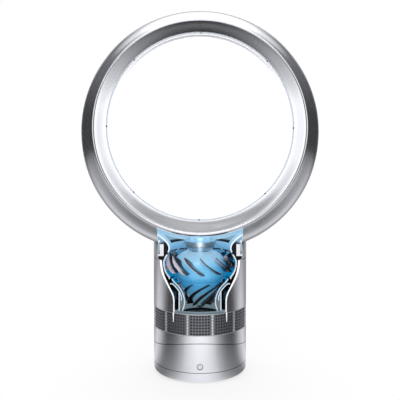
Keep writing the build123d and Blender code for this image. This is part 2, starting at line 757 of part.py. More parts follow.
with BuildPart() as lower_casing:
    ring(body_radius, inside_radius, tilt_low - 1, grille_bottom - tilt_low + 1)
    tilt_drum(shoe_face, Mode.INTERSECT)
    add(shoe_bosses.part)
    with Locations(*[(x, y, tilt_low) for x, y in shoe_screw_places]):
        Cylinder(screw_hole, shoe_boss_height, align=low, mode=Mode.SUBTRACT)

# ---------------------------------------------------------------- inlet grille and main casing
slot_pitch = grille_height / (grille_rows + 0.5)
panel_angle = 360 / grille_panels
slot_angle = panel_angle - math.degrees(grille_rib / body_radius)
grille_inner = body_radius - grille_wall
spigot_outer = inside_radius - fit_gap

with BuildPart() as slot_row:       # one row of inlet slots round the whole body
    with BuildSketch(Plane.XY):
        Circle(body_radius + 1)
        Circle(grille_inner - 1, mode=Mode.SUBTRACT)
        with PolarLocations(body_radius, grille_panels, start_angle=panel_angle / 2):
            Rectangle(4 * grille_wall, grille_rib, mode=Mode.SUBTRACT)
    extrude(amount=slot_pitch - grille_slat)

with BuildPart() as inlet_grille:
    ring(body_radius, grille_inner, grille_bottom + fit_gap / 2, grille_height - fit_gap)
    for bottom in (grille_bottom - spigot_height, grille_top - spigot_height):
        ring(spigot_outer, spigot_outer - spigot_wall, bottom, 2 * spigot_height)
    ring(grille_inner + grille_wall / 2, spigot_outer - spigot_wall, grille_bottom + fit_gap,
         spigot_height - fit_gap)
    ring(grille_inner + grille_wall / 2, spigot_outer - spigot_wall, grille_top - spigot_height,
         spigot_height - fit_gap)
    for row in range(grille_rows):
        height = grille_bottom + grille_slat + row * slot_pitch + slot_pitch / 4
        add(Pos(0, 0, height) * slot_row.part, mode=Mode.SUBTRACT)

with BuildPart() as casing_window:  # cutter whose sides point at the middle of the body
    for reach in (1.2 * body_radius, 0.1 * body_radius):
        with BuildSketch(Plane.XZ.offset(reach)):
            with BuildLine():
                spots = []
                for half, height in window_line:
                    spread = half / math.sqrt(body_radius**2 - half**2)
                    spots.append((reach * spread, height))
                Spline(*spots)
                Line(spots[-1], (spots[-1][0], grille_top - 1))
                Line((spots[-1][0], grille_top - 1), (0, grille_top - 1))
                Line((0, grille_top - 1), (0, spots[0][1]))
                Line((0, spots[0][1]), spots[0])
            make_face()
            mirror(about=Plane.YZ)
    loft(ruled=True)

with BuildPart() as main_casing:
    ring(body_radius, inside_radius, grille_top + fit_gap / 2, casing_top - grille_top - fit_gap / 2)
    add(casing_window.part, mode=Mode.SUBTRACT)

# ---------------------------------------------------------------- air path inside the casing, cut at the middle
with BuildPart() as inlet_bellmouth:
    half_shell(bellmouth_line, bellmouth_wall)

with BuildPart() as impeller_housing:
    half_shell(housing_line, bellmouth_wall)
    with BuildSketch(Plane.XZ):
        with Locations((skirt_radius, bellmouth_line[0][1] + bellmouth_wall / 2)):
            Rectangle(bellmouth_wall, skirt_top - bellmouth_line[0][1], align=(Align.MIN, Align.MIN))
    revolve(axis=Axis.Z, revolution_arc=180)
    webs(housing_line[-1][0] - 1, housing_line[-1][1] - web_height, web_height)

with BuildPart() as diffuser_housing:
    half_shell(diffuser_line, duct_wall)
    webs(diffuser_line[3][0] + duct_wall / 2, diffuser_line[1][1], web_height)

with BuildPart() as silencing_foam:
    foam_bottom = grille_top + spigot_height + fit_gap
    with BuildSketch(Plane.XZ):
        with Locations((foam_inner, foam_bottom)):
            Rectangle(inside_radius - fit_gap - foam_inner, foam_height, align=(Align.MIN, Align.MIN))
    revolve(axis=Axis.Z, revolution_arc=180)

# ---------------------------------------------------------------- motor bucket, its guide vanes and the motor
bucket_bottom = bucket_line[-1][1]

vane = twisted_blade(
    vane_top, vane_bottom, vane_steps, vane_wrap,
    lambda height: radius_at(bucket_line, height) - bucket_wall / 2,
    lambda height: radius_at(diffuser_line + duct_line, height) - vane_tip_gap,
    lambda share: vane_thin + share * (vane_thick - vane_thin))

with BuildPart() as motor_bucket:
    with BuildSketch(Plane.XZ):
        with BuildLine():
            wall_outline(bucket_line, bucket_wall)
        make_face()
    revolve(axis=Axis.Z)
    ring(radius_at(bucket_line, bucket_bottom) - bucket_wall / 4, 2 * shaft_radius, bucket_bottom, bucket_floor)
    ring(bearing_radius + bearing_seat_wall, bearing_radius + bore_gap, bucket_bottom,
         bucket_floor + bearing_height)
    ring(stator_radius - 2, stator_radius - 2 - bearing_seat_wall, bucket_bottom,
         stator_bottom - fit_gap - bucket_bottom)
    for angle in range(vane_count):
        add(Rot(0, 0, vane_phase + 360 * angle / vane_count) * vane)

cap_bowl_top = cap_rim_height - cap_rim_lip
cap_bowl_bottom = cap_bowl_top - cap_bowl_depth
cap_seat_top = upper_bearing_bottom + bearing_height + bore_gap

with BuildPart() as motor_cap:
    with BuildSketch(Plane.XZ):
        with BuildLine():
            Polyline(
                (0, cap_rim_height + cap_disc_height), (cap_disc_radius, cap_rim_height + cap_disc_height),
                (cap_disc_radius, cap_rim_height), (cap_rim_radius, cap_rim_height),
                (cap_rim_radius, cap_bowl_top))
            EllipticalCenterArc(
                (cap_foot_radius, cap_bowl_top), cap_rim_radius - cap_foot_radius, cap_bowl_depth,
                start_angle=-quarter_turn, arc_size=quarter_turn)
            Polyline(
                (cap_foot_radius, cap_bowl_bottom), (cap_boss_radius, cap_bowl_bottom),
                (cap_boss_radius, upper_bearing_bottom), (bearing_radius + bore_gap, upper_bearing_bottom),
                (bearing_radius + bore_gap, cap_seat_top), (2 * shaft_radius, cap_seat_top),
                (2 * shaft_radius, shaft_top + 1), (0, shaft_top + 1), (0, cap_rim_height + cap_disc_height))
        make_face()
    revolve(axis=Axis.Z)
    for angle in strut_angles:
        with BuildLine(Plane.XZ.rotated((0, 0, angle))) as strut_path:
            Line(*strut_ends)
        with BuildSketch(Plane(strut_path.edge() @ 0, z_dir=strut_path.edge() % 0)):
            Circle(strut_radius)
        sweep(path=strut_path.edge())

with BuildPart() as motor_stator:
    ring(stator_radius, magnet_radius + magnet_gap, stator_bottom, stator_height)

with BuildPart() as lower_bearing:
    ring(bearing_radius, shaft_radius + bore_gap, lower_bearing_bottom, bearing_height)

with BuildPart() as upper_bearing:
    ring(bearing_radius, shaft_radius + bore_gap, upper_bearing_bottom, bearing_height)

# ---------------------------------------------------------------- rotor
with BuildPart() as rotor_shaft:
    with Locations((0, 0, shaft_bottom)):
        Cylinder(shaft_radius, shaft_top - shaft_bottom, align=low)
    chamfer(rotor_shaft.edges().group_by(Axis.Z)[-1] + rotor_shaft.edges().group_by(Axis.Z)[0], small_edge)

with BuildPart() as rotor_magnet:
    ring(magnet_radius, shaft_radius + bore_gap, stator_bottom, stator_height)

blade = twisted_blade(
    blade_bottom, hub_top, blade_steps, blade_wrap,
    lambda height: radius_at(hub_line, height) - hub_wall / 2,
    lambda height: radius_at(bellmouth_line[4:], height) - blade_tip_gap,
    lambda share: blade_thickness)

with BuildPart() as impeller:
    with BuildSketch(Plane.XZ):
        with BuildLine():
            wall_outline(hub_line, hub_wall)
        make_face()
    revolve(axis=Axis.Z)
    ring(3 * shaft_radius, shaft_radius + bore_gap, hub_bottom, hub_top - hub_bottom - hub_wall)
    for angle in range(blade_count):
        add(Rot(0, 0, 360 * angle / blade_count) * blade)
    with Locations((0, 0, hub_bottom)):
        Cylinder(shaft_radius + bore_gap, far, mode=Mode.SUBTRACT)

with BuildPart() as impeller_nut:
    with BuildSketch(Plane.XY.offset(hub_bottom - nut_height - fit_gap)):
        RegularPolygon(nut_radius, 6)
        Circle(shaft_radius + bore_gap, mode=Mode.SUBTRACT)
    extrude(amount=nut_height)

# ---------------------------------------------------------------- nozzle
loop_outside = loop_solid(0)
loop_cavity = loop_solid(loop_wall)

with BuildPart() as bore_cutter:    # everything inside the loop's air face, out to the nose
    with BuildSketch(Plane.YZ):
        with BuildLine():
            front_spot = inner_line[0]
            slot_spot = (lip_front, inner_line[3][1] + inner_wall)
            Polyline(
                (2 * loop_front, loop_height), (2 * loop_front, loop_height + front_radius + loop_radius),
                (loop_front, loop_height + front_radius + loop_radius),
                (loop_front, loop_height + front_spot[1] + inner_wall + fit_gap),
                (slot_spot[0], loop_height + slot_spot[1] + fit_gap), (slot_spot[0], loop_height + lip_radius),
                (2 * loop_back, loop_height + lip_radius), (2 * loop_back, loop_height),
                (2 * loop_front, loop_height))
        make_face()
        with Locations((loop_front, loop_height + front_spot[1] + nose_radius - nose_overlap)):
            Circle(nose_radius + fit_gap / 2)
    revolve(axis=loop_axis)

with BuildPart() as window_cutter:  # the window where it runs on up the neck and the loop
    with BuildSketch(Plane.XZ):
        with Locations((0, casing_seam)):
            Rectangle(2 * (body_radius - neck_window_inset), loop_height - casing_seam)
        with Locations((0, loop_height)):
            Circle(loop_window_radius, mode=Mode.SUBTRACT)
    extrude(amount=body_diameter)

with BuildPart() as inlet_cutter:   # way for the air out of the neck into the loop
    with BuildSketch(Plane.XY.offset(casing_seam)):
        Circle(inlet_radius)
        with Locations((0, inlet_back)):
            Rectangle(2 * inlet_radius, 2 * inlet_radius, align=(Align.CENTER, Align.MIN), mode=Mode.SUBTRACT)
    extrude(amount=loop_height - loop_window_radius - casing_seam)

with BuildPart() as nozzle_outer_shell:
    add(loop_outside)
    add(loop_cavity, mode=Mode.SUBTRACT)
    with BuildSketch(Plane.YZ):
        with Locations((lip_front, loop_height + lip_radius)):
            Rectangle(loop_back - lip_front - loop_wall / 2, lip_wall, align=(Align.MIN, Align.MIN))
    revolve(axis=loop_axis)
    add(bore_cutter.part, mode=Mode.SUBTRACT)
    add(window_cutter.part, mode=Mode.SUBTRACT)
    add(inlet_cutter.part, mode=Mode.SUBTRACT)

with BuildPart() as nozzle_inner_wall:
    loop_band(inner_line, inner_wall)
    with BuildSketch(Plane.YZ):
        with Locations((loop_front, loop_height + front_spot[1] + nose_radius - nose_overlap)):
            Circle(nose_radius)
    revolve(axis=loop_axis)

with BuildPart() as slot_spacers:
    slot_gap = inner_line[3][1] - lip_radius - lip_wall
    with BuildSketch(Plane.YZ):
        with Locations((lip_front + 1, loop_height + lip_radius + lip_wall + bore_gap / 2)):
            Rectangle(spacer_length, slot_gap - bore_gap, align=(Align.MIN, Align.MIN))
    revolve(axis=loop_axis, revolution_arc=spacer_angle)
    spacer = slot_spacers.part
    for index in range(1, spacer_count):
        add(spacer.rotate(loop_axis, 360 * index / spacer_count))

with BuildPart() as nozzle_neck:
    add(neck_solid(0))
    add(neck_solid(shell_wall), mode=Mode.SUBTRACT)
    add(loop_outside, mode=Mode.SUBTRACT)
    add(window_cutter.part, mode=Mode.SUBTRACT)

with BuildPart() as nozzle_duct:
    half_shell(duct_line, duct_wall)
    with Locations((0, duct_back, duct_line[2][1])):
        Box(far, far, far, align=(Align.CENTER, Align.MIN, Align.MIN), mode=Mode.SUBTRACT)

with BuildPart() as nozzle_seal:
    with BuildSketch(Plane.XZ):
        seal_middle = (duct_line[0][1] + diffuser_line[-1][1]) / 2
        with Locations((diffuser_line[-1][0] + seal_radius, seal_middle + fit_gap / 2)):
            Circle(seal_radius)
    revolve(axis=Axis.Z, revolution_arc=180)

with BuildPart() as lock_ring:
    with BuildSketch(Plane.XZ):
        with Locations((lock_ring_inner, lock_ring_bottom)):
            Rectangle(lock_ring_wall, lock_ring_height, align=(Align.MIN, Align.MIN))
        with Locations((lock_ring_inner, lock_ring_bottom)):
            Rectangle(inside_radius - fit_gap - lock_ring_inner, lock_web, align=(Align.MIN, Align.MIN))
    revolve(axis=Axis.Z, revolution_arc=180)

# ---------------------------------------------------------------- one STEP file for each piece
pieces = {
    "foot_shell": foot_shell, "foot_plate": foot_plate, "rubber_feet": rubber_feet, "foot_screws": foot_screws,
    "cord_gland": cord_gland, "turntable_spindle": turntable_spindle, "spindle_clip": spindle_clip,
    "foot_gear": foot_gear, "glide_ring": glide_ring,
    "turntable_plate": turntable_plate, "turntable_bush": turntable_bush, "turntable_screws": turntable_screws,
    "lower_shell": lower_shell, "tilt_cradle": tilt_cradle, "cradle_screws": cradle_screws,
    "oscillation_motor": oscillation_motor, "control_board": control_board, "board_screws": board_screws,
    "button_bezel": button_bezel, "switch_board": switch_board, "button_spring": button_spring,
    "power_button": power_button, "drive_pinion": drive_pinion,
    "tilt_shoe": tilt_shoe, "tilt_runners": tilt_runners, "runner_screws": runner_screws,
    "shoe_screws": shoe_screws, "lower_casing": lower_casing, "inlet_grille": inlet_grille,
    "main_casing": main_casing, "inlet_bellmouth": inlet_bellmouth, "impeller_housing": impeller_housing,
    "diffuser_housing": diffuser_housing, "silencing_foam": silencing_foam, "motor_bucket": motor_bucket,
    "motor_cap": motor_cap, "motor_stator": motor_stator, "lower_bearing": lower_bearing,
    "upper_bearing": upper_bearing, "lock_ring": lock_ring, "nozzle_neck": nozzle_neck,
    "nozzle_duct": nozzle_duct, "nozzle_seal": nozzle_seal, "nozzle_outer_shell": nozzle_outer_shell,
    "nozzle_inner_wall": nozzle_inner_wall, "slot_spacers": slot_spacers,
    "impeller": impeller, "rotor_shaft": rotor_shaft, "rotor_magnet": rotor_magnet,
    "impeller_nut": impeller_nut,
}
os.makedirs("parts", exist_ok=True)
for name, piece in pieces.items():
    piece.part.label = name
    export_step(piece.part, f"parts/{name}.step")
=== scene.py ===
import math

import bpy
from mathutils import Matrix, Vector


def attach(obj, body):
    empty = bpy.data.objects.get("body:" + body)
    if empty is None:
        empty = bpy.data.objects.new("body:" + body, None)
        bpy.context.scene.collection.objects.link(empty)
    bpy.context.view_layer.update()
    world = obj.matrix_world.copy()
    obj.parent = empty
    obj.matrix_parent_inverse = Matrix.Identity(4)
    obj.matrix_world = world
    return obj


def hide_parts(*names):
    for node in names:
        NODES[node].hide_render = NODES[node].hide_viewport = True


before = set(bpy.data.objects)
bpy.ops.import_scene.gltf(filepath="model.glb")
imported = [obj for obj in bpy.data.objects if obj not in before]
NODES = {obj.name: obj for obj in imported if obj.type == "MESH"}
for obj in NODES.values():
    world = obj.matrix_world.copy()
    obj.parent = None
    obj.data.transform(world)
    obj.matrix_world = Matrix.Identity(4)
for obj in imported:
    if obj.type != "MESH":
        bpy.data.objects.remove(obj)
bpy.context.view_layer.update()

bl_info = {
    "name": "Bladeless fan, cut away",
    "version": (1, 0, 0),
    "blender": (4, 5, 0),
    "location": "View3D > Sidebar > Fan",
    "description": "Finishes, grille, motor bucket, impeller and stage of a bladeless fan shown cut away",
    "category": "Object",
}

MM = 0.001

# heights at which the painted glow and highlights of the air path, the vanes and the motor cap change, as
# from and to, in metres
DUCT_GREY = (0.098, 0.112)
DUCT_PALE = (0.165, 0.2)
BOWL_LIGHT = (0.138, 0.165)
BOWL_CROWN = (0.16, 0.18)
BOWL_TEAL = (0.12, 0.139)
HUB_TEAL = (0.101, 0.132)
VANE_LIT = (0.16, 0.172)
CAP_DISC = (0.1965, 0.1975)

# the same for places across, the neck's depth and a vane's radius
VANE_LEFT = (-0.024, -0.03)
VANE_RIGHT = (-0.004, 0.004)
CAP_HIGHLIGHT = (0.0, 0.006)
NECK_BACK = (0.008, 0.016)
VANE_OUTER = (0.046, 0.048)

# strength of the painted glow: light given off by the cut faces, the air path and the trims, which are no
# lamps
SHELL_GLOW = 0.5
DUCT_GLOW = 0.6
AIR_GLOW = 0.45
TRIM_GLOW = 0.4

# how closely a face has to lie on a cut, in metres
CUT_SLACK = 0.0003
SIDE_SLACK = 0.0002

# how a face has to turn: the part of its normal in a direction, and for the loop that part times the radius
SQUARE = 0.97       # straight along an axis
LEVEL = 0.985       # straight up or down
EDGE_ON = 0.6       # less than this along the radius, as a wall that stands radially
TO_AXIS = -0.2
TO_FRONT = -0.3
LOOP_LEAN = 0.002

# in the loop: the front end of its hidden faces, and the fade at the slot
HIDDEN_FRONT = -0.053
SLOT_FADE = 0.004

CAMERA_PLACE = (0, -1.06524, 0.3793)
CAMERA_PITCH = math.radians(3.2)
CAMERA_LENS = 63.686
CAMERA_SHIFT = -0.1019

BLADE_BEVEL = 0.001
HUB_WALL = 0.0024

# (radius, height) lines of the turned pieces, in millimetres
BUCKET_LINE = [(16.4, 181.6), (22.4, 180.2), (27.0, 178.0), (32.6, 174.4), (36.5, 170.0), (39.6, 164.4),
               (41.0, 158.0), (41.2, 152.8), (40.5, 148.0), (38.6, 143.2), (36.0, 139.2)]
HUB_LINE = [(35.4, 138.6), (34.5, 136.2), (31.6, 130.6), (28.0, 125.0), (24.2, 119.0), (20.0, 113.0),
            (16.2, 107.8), (12.5, 103.5), (9.6, 100.6), (6.5, 98.5)]
DUCT_LINE = [(46.6, 136.8), (45.6, 139.0), (47.4, 142.5), (51.5, 149.0), (53.6, 156.6), (53.9, 164.0),
             (52.0, 169.2), (49.2, 174.0), (47.8, 177.6)]
SHROUD_LINE = [(22.9, 100.4), (23.2, 106.5), (25.6, 115.0), (29.4, 122.5), (34.4, 128.8), (39.4, 133.8),
               (42.0, 137.7)]

# heights of the slices of a vane and of a blade: the first, the last and how many
VANE_LEVELS = (177.5, 152.5, 14)
BLADE_LEVELS = (101.0, 136.0, 13)


# ---- sizes and colours
def metres(name, text, default):
    return bpy.props.FloatProperty(name=name, description=text, default=default, unit="LENGTH")


def number(name, text, default):
    return bpy.props.IntProperty(name=name, description=text, default=default)


def degrees(name, text, default):
    return bpy.props.FloatProperty(
        name=name, description=text, default=math.radians(default), subtype="ANGLE")


def colour(name, text, default):
    return bpy.props.FloatVectorProperty(
        name=name, description=text, default=default, subtype="COLOR", min=0, max=1)


class FanSizes(bpy.types.PropertyGroup):
    body_radius: metres("Body radius", "Outside of the cylindrical body", 0.070)
    grille_bottom: metres("Grille bottom", "Height of the grille's lower edge", 0.0697)
    grille_height: metres("Grille height", "Height of the inlet grille", 0.0318)
    grille_panels: number("Grille panels", "Perforated panels round the body", 12)
    grille_rows: number("Rows of holes", "Rows of holes in a panel", 7)
    grille_columns: number("Columns of holes", "Holes across a panel", 7)
    hole_pitch: metres("Hole pitch", "Distance between two holes", 0.00425)
    hole_width: metres("Hole width", "Width of a hole in the grille", 0.0031)
    sheet: metres("Sheet", "Thickness of the perforated sheet", 0.0009)
    rib_width: metres("Rib width", "Width of a grille rib between its beads", 0.0012)
    bead_width: metres("Bead width", "Width of a bead on a grille rib", 0.0035)
    bucket_wall: metres("Bucket wall", "Wall of the motor bucket", 0.002)
    vane_count: number("Guide vanes", "Guide vanes round the bucket", 12)
    vane_wrap: degrees("Vane wrap", "Turn of a guide vane from top to bottom", 36)
    blade_count: number("Impeller blades", "Blades of the impeller", 9)
    blade_wrap: degrees("Blade wrap", "Turn of an impeller blade from bottom to top", 92)
    window_half: metres("Neck window", "Half width of the window up the neck", 0.062)
    window_radius: metres("Window top", "Radius, from the loop's middle, of the window's top edge", 0.157)
    slot_radius: metres("Slot radius", "Widest radius that is seen through the air slot", 0.149)
    loop_height: metres("Loop height", "Height of the middle of the loop", 0.368)


class FanFinish(bpy.types.PropertyGroup):
    silver: colour("Silver", "Satin silver of the shells", (0.66, 0.67, 0.70))
    cut_face: colour("Cut face", "Painted cut faces of the section", (0.90, 0.90, 0.92))
    inside_dark: colour("Inside", "Unlit insides of the shells", (0.018, 0.019, 0.022))
    grille: colour("Grille", "Perforated sheet of the grille", (0.150, 0.153, 0.170))
    grille_rib: colour("Grille rib", "Beaded ribs between the panels", (0.72, 0.73, 0.77))
    # painted light: these blues, the teal and the grey stand for the light of the air path and glow on most
    # pieces; the light blue is a painted highlight where the bucket faces the front, the deep blue its sides
    air_light: colour("Light air blue", "Motor bucket where it is brightest", (0.18, 0.56, 0.84))
    air_deep: colour("Deep air blue", "Motor bucket at its sides", (0.01, 0.22, 0.50))
    air_teal: colour("Teal", "Low part of the impeller", (0.22, 0.42, 0.52))
    duct_blue: colour("Duct blue", "Air side of the half ducts", (0.0, 0.24, 0.46))
    air_high: colour("High air blue", "Insides of the neck and the loop", (0.40, 0.62, 0.76))
    air_grey: colour("Air grey", "Lowest part of the air path", (0.20, 0.29, 0.33))
    # painted highlight on the lit side of the guide vanes
    vane_painted_highlight: colour("Pale vane face", "The lit side of a guide vane", (0.80, 0.72, 0.78))
    smoke: colour("Smoke", "Guide vanes and impeller blades", (0.020, 0.019, 0.024))
    cap: colour("Motor cap", "Brushed metal of the motor cap", (0.30, 0.42, 0.52))


# ---- node helpers
def add_node(tree, kind, **inputs):
    node = tree.nodes.new(kind)
    for name, value in inputs.items():
        feed(tree, node.inputs[name.replace("_", " ")], value)
    return node


def feed(tree, socket, value):
    if isinstance(value, bpy.types.NodeSocket):
        tree.links.new(value, socket)
    else:
        socket.default_value = value


def maths(tree, operation, first, second=0.0):
    node = tree.nodes.new("ShaderNodeMath")
    node.operation = operation
    feed(tree, node.inputs[0], first)
    feed(tree, node.inputs[1], second)
    return node.outputs[0]


def product(tree, first, second):
    return maths(tree, "MULTIPLY", first, second)


def length_of(tree, first, second):
    """Length of the flat vector with these two parts."""
    return maths(tree, "SQRT", maths(tree, "ADD", product(tree, first, first), product(tree, second, second)))


def vector_maths(tree, operation, *vectors):
    node = tree.nodes.new("ShaderNodeVectorMath")
    node.operation = operation
    for socket, vector in zip(node.inputs, vectors):
        tree.links.new(vector, socket)
    return node.outputs


def coordinate(tree, kind="Object"):
    return tree.nodes.new("ShaderNodeTexCoord").outputs[kind]


def parts_of(tree, vector):
    """The X, Y and Z of a vector."""
    return add_node(tree, "ShaderNodeSeparateXYZ", Vector=vector).outputs


def same_as(tree, value, target, slack):
    """1 where a value is the target, to within the slack."""
    found = maths(tree, "COMPARE", value, target)
    found.node.inputs[2].default_value = slack
    return found


def between(tree, value, low, high, start=0.0, end=1.0):
    node = add_node(tree, "ShaderNodeMapRange", Value=value)
    node.inputs["From Min"].default_value = low
    node.inputs["From Max"].default_value = high
    node.inputs["To Min"].default_value = start
    node.inputs["To Max"].default_value = end
    return node.outputs["Result"]


def blend_colours(tree, factor, first, second):
    node = tree.nodes.new("ShaderNodeMix")
    node.data_type = "RGBA"
    feed(tree, node.inputs["Factor"], factor)
    for socket, value in ((node.inputs[6], first), (node.inputs[7], second)):
        feed(tree, socket, value if isinstance(value, bpy.types.NodeSocket) else (*value, 1.0))
    return node.outputs[2]


FLOAT = "NodeSocketFloat"


def new_group(name, inputs, outputs):
    """An empty shader node group with named sockets, and its two ends."""
    tree = bpy.data.node_groups.new(name, "ShaderNodeTree")
    for label, kind, value in inputs:
        socket = tree.interface.new_socket(label, in_out="INPUT", socket_type=kind)
        socket.default_value = value
    for label, kind in outputs:
        tree.interface.new_socket(label, in_out="OUTPUT", socket_type=kind)
    return tree, tree.nodes.new("NodeGroupInput").outputs, tree.nodes.new("NodeGroupOutput").inputs


def place_group(tree, name, **inputs):
    node = tree.nodes.new("ShaderNodeGroup")
    node.node_tree = bpy.data.node_groups[name]
    for label, value in inputs.items():
        feed(tree, node.inputs[label.replace("_", " ")], value)
    return node.outputs


def make_groups(sizes):
    """The effects that several finishes share."""
    # fine moulded or sprayed grain, with soft larger changes
    tree, ins, outs = new_group(
        "Fine grain",
        [("Scale", FLOAT, 900.0), ("Roughness", FLOAT, 0.3), ("Spread", FLOAT, 0.05)],
        [("Roughness", FLOAT), ("Height", FLOAT), ("Tone", FLOAT)])
    place = coordinate(tree)
    fine = add_node(tree, "ShaderNodeTexNoise", Vector=place, Scale=ins["Scale"], Detail=2.0).outputs["Fac"]
    broad = add_node(tree, "ShaderNodeTexNoise", Vector=place, Scale=28.0, Detail=3.0).outputs["Fac"]
    shift = product(tree, maths(tree, "SUBTRACT", broad, 0.5), ins["Spread"])
    tree.links.new(maths(tree, "ADD", ins["Roughness"], shift), outs["Roughness"])
    tree.links.new(fine, outs["Height"])
    tree.links.new(between(tree, broad, 0.3, 0.7, 0.96, 1.03), outs["Tone"])

    # which faces of a piece are cut faces, and which face the fan's upright axis
    tree, ins, outs = new_group(
        "Section faces",
        [("Window Half", FLOAT, sizes.window_half), ("Window Radius", FLOAT, sizes.window_radius),
         ("Loop Height", FLOAT, sizes.loop_height), ("Radial Walls", FLOAT, 0.0)],
        [("Cut", FLOAT), ("Inward", FLOAT), ("Loop Inward", FLOAT), ("Loop Hidden", FLOAT), ("Slot", FLOAT)])
    spot = parts_of(tree, coordinate(tree))
    normal = coordinate(tree, "Normal")
    facing = parts_of(tree, normal)
    flat = add_node(tree, "ShaderNodeCombineXYZ", X=spot["X"], Y=spot["Y"]).outputs[0]
    outward = vector_maths(tree, "NORMALIZE", flat)["Vector"]
    lean = vector_maths(tree, "DOT_PRODUCT", outward, normal)["Value"]
    across = maths(tree, "ABSOLUTE", spot["X"])
    rise = maths(tree, "SUBTRACT", spot["Z"], ins["Loop Height"])
    reach = length_of(tree, spot["X"], rise)

    # the cut on the middle plane, the sides and the top of the window, and walls that stand radially
    middle = product(tree, maths(tree, "LESS_THAN", facing["Y"], -SQUARE),
                     maths(tree, "LESS_THAN", maths(tree, "ABSOLUTE", spot["Y"]), CUT_SLACK))
    side = product(tree, same_as(tree, across, ins["Window Half"], SIDE_SLACK),
                   maths(tree, "GREATER_THAN", maths(tree, "ABSOLUTE", facing["X"]), SQUARE))
    within = product(tree, maths(tree, "LESS_THAN", rise, 0.0),
                     maths(tree, "LESS_THAN", across, maths(tree, "ADD", ins["Window Half"], SIDE_SLACK)))
    arc = product(tree, same_as(tree, reach, ins["Window Radius"], CUT_SLACK), within)
    window = product(tree, maths(tree, "LESS_THAN", spot["Y"], 0.0), maths(tree, "MAXIMUM", side, arc))
    upright = maths(tree, "LESS_THAN", maths(tree, "ABSOLUTE", facing["Z"]), LEVEL)
    edge_on = maths(tree, "LESS_THAN", maths(tree, "ABSOLUTE", lean), EDGE_ON)
    radial = product(tree, ins["Radial Walls"], product(tree, upright, edge_on))
    cut = maths(tree, "MAXIMUM", maths(tree, "MAXIMUM", middle, window), radial)
    tree.links.new(cut, outs["Cut"])
    tree.links.new(maths(tree, "LESS_THAN", lean, TO_AXIS), outs["Inward"])

    # inside the loop, deeper than what shows through the air slot
    round_loop = add_node(tree, "ShaderNodeCombineXYZ", X=spot["X"], Z=rise).outputs[0]
    loop_lean = vector_maths(tree, "DOT_PRODUCT", round_loop, normal)["Value"]
    back_inside = product(tree, maths(tree, "LESS_THAN", facing["Y"], TO_FRONT),
                          maths(tree, "GREATER_THAN", spot["Y"], 0.0))
    inside = maths(tree, "MAXIMUM", maths(tree, "LESS_THAN", loop_lean, -LOOP_LEAN), back_inside)
    deep = between(tree, reach, sizes.slot_radius, sizes.slot_radius + SLOT_FADE)
    tree.links.new(product(tree, inside, deep), outs["Loop Inward"])
    tree.links.new(product(tree, back_inside, maths(tree, "SUBTRACT", 1.0, deep)), outs["Slot"])
    hidden = product(tree, maths(tree, "GREATER_THAN", loop_lean, LOOP_LEAN),
                     maths(tree, "GREATER_THAN", spot["Y"], HIDDEN_FRONT))
    tree.links.new(product(tree, hidden, deep), outs["Loop Hidden"])


# brightness of the studio, from straight before the fan (0) over its sides (0.5) to straight behind it (1)
FLOOR_STOPS = ((0.0, 1.35), (0.05, 1.0), (0.10, 0.56), (0.17, 0.26), (0.25, 0.10), (0.37, 0.05), (0.45, 0.14),
               (0.53, 0.42), (0.62, 0.74), (0.73, 0.92), (0.9, 0.34), (0.97, 0.32), (1.0, 0.50))
HORIZON_STOPS = ((0.0, 1.4), (0.05, 1.05), (0.11, 0.60), (0.19, 0.30), (0.28, 0.14), (0.42, 0.08),
                 (0.55, 0.05), (0.88, 0.05), (0.94, 1.45), (1.0, 1.5))
BLUE_TINT = 1.02

# changes of the floor, as from and to: parts of the way round as above, and distances in metres
CORNER = (0.975, 1.0)
CORNER_REACH = (0.6, 0.95)
SIDES_BEGIN = (0.50, 0.56)
SIDES_END = (0.84, 0.90)
SIDE_FADE = (0.45, 1.8)
FAR_FADE = (0.8, 3.0)
FOOT_SHADE = (0.07, 0.30)

# changes of the sky, as from and to: the part of the way round, and the rise of a direction
BACK_OPENS = (0.93, 0.99)
BAND = (0.12, 0.45)
BRIGHT_BEGIN = (0.24, 0.38)
BRIGHT_END = (0.46, 0.58)
SKY = (0.54, 0.70)

FLOOR_RADIUS = 4.0
FLOOR_DROP = 0.0002
FLOOR_PAINT = (0.86, 0.86, 0.87)
CORNER_DARK = (0.03, 0.03, 0.032)
BAND_GREY = (0.17, 0.17, 0.175)
SKY_LIGHT = (1.3, 1.3, 1.32)

# each lamp's name, place and target
LAMPS = (("Key", (0, -1.4, 1.5), (0, 0, 0.25)), ("Top", (0, 0.5, 1.9), (0, 0, 0.35)))
LAMP_SIZE = (1.6, 1.0)
LAMP_POWER = 8


def make_studio_group(name, stops):
    """Brightness of the studio in each direction, and how far a direction points behind the fan."""
    tree, ins, outs = new_group(name, [("Direction", "NodeSocketVector", (0, 0, 0))],
                                [("Color", "NodeSocketColor"), ("Behind", FLOAT)])
    parts = parts_of(tree, ins["Direction"])
    level = length_of(tree, parts["X"], parts["Y"])
    toward_back = maths(tree, "DIVIDE", parts["Y"], maths(tree, "MAXIMUM", level, 0.001))
    ramp = tree.nodes.new("ShaderNodeValToRGB")
    behind = between(tree, toward_back, -1, 1)
    tree.links.new(behind, ramp.inputs["Fac"])
    elements = ramp.color_ramp.elements
    for end, value in ((elements[0], stops[0][1]), (elements[1], stops[-1][1])):
        end.color = (value, value, value * BLUE_TINT, 1)
    for place, value in stops[1:-1]:
        elements.new(place).color = (value, value, value * BLUE_TINT, 1)
    tree.links.new(ramp.outputs["Color"], outs["Color"])
    tree.links.new(behind, outs["Behind"])


def paint(tree, shader, light):
    tree.links.new(light, shader.inputs["Base Color"])


def let_glow(tree, shader, light, strength):
    tree.links.new(light, shader.inputs["Emission Color"])
    shader.inputs["Emission Strength"].default_value = strength


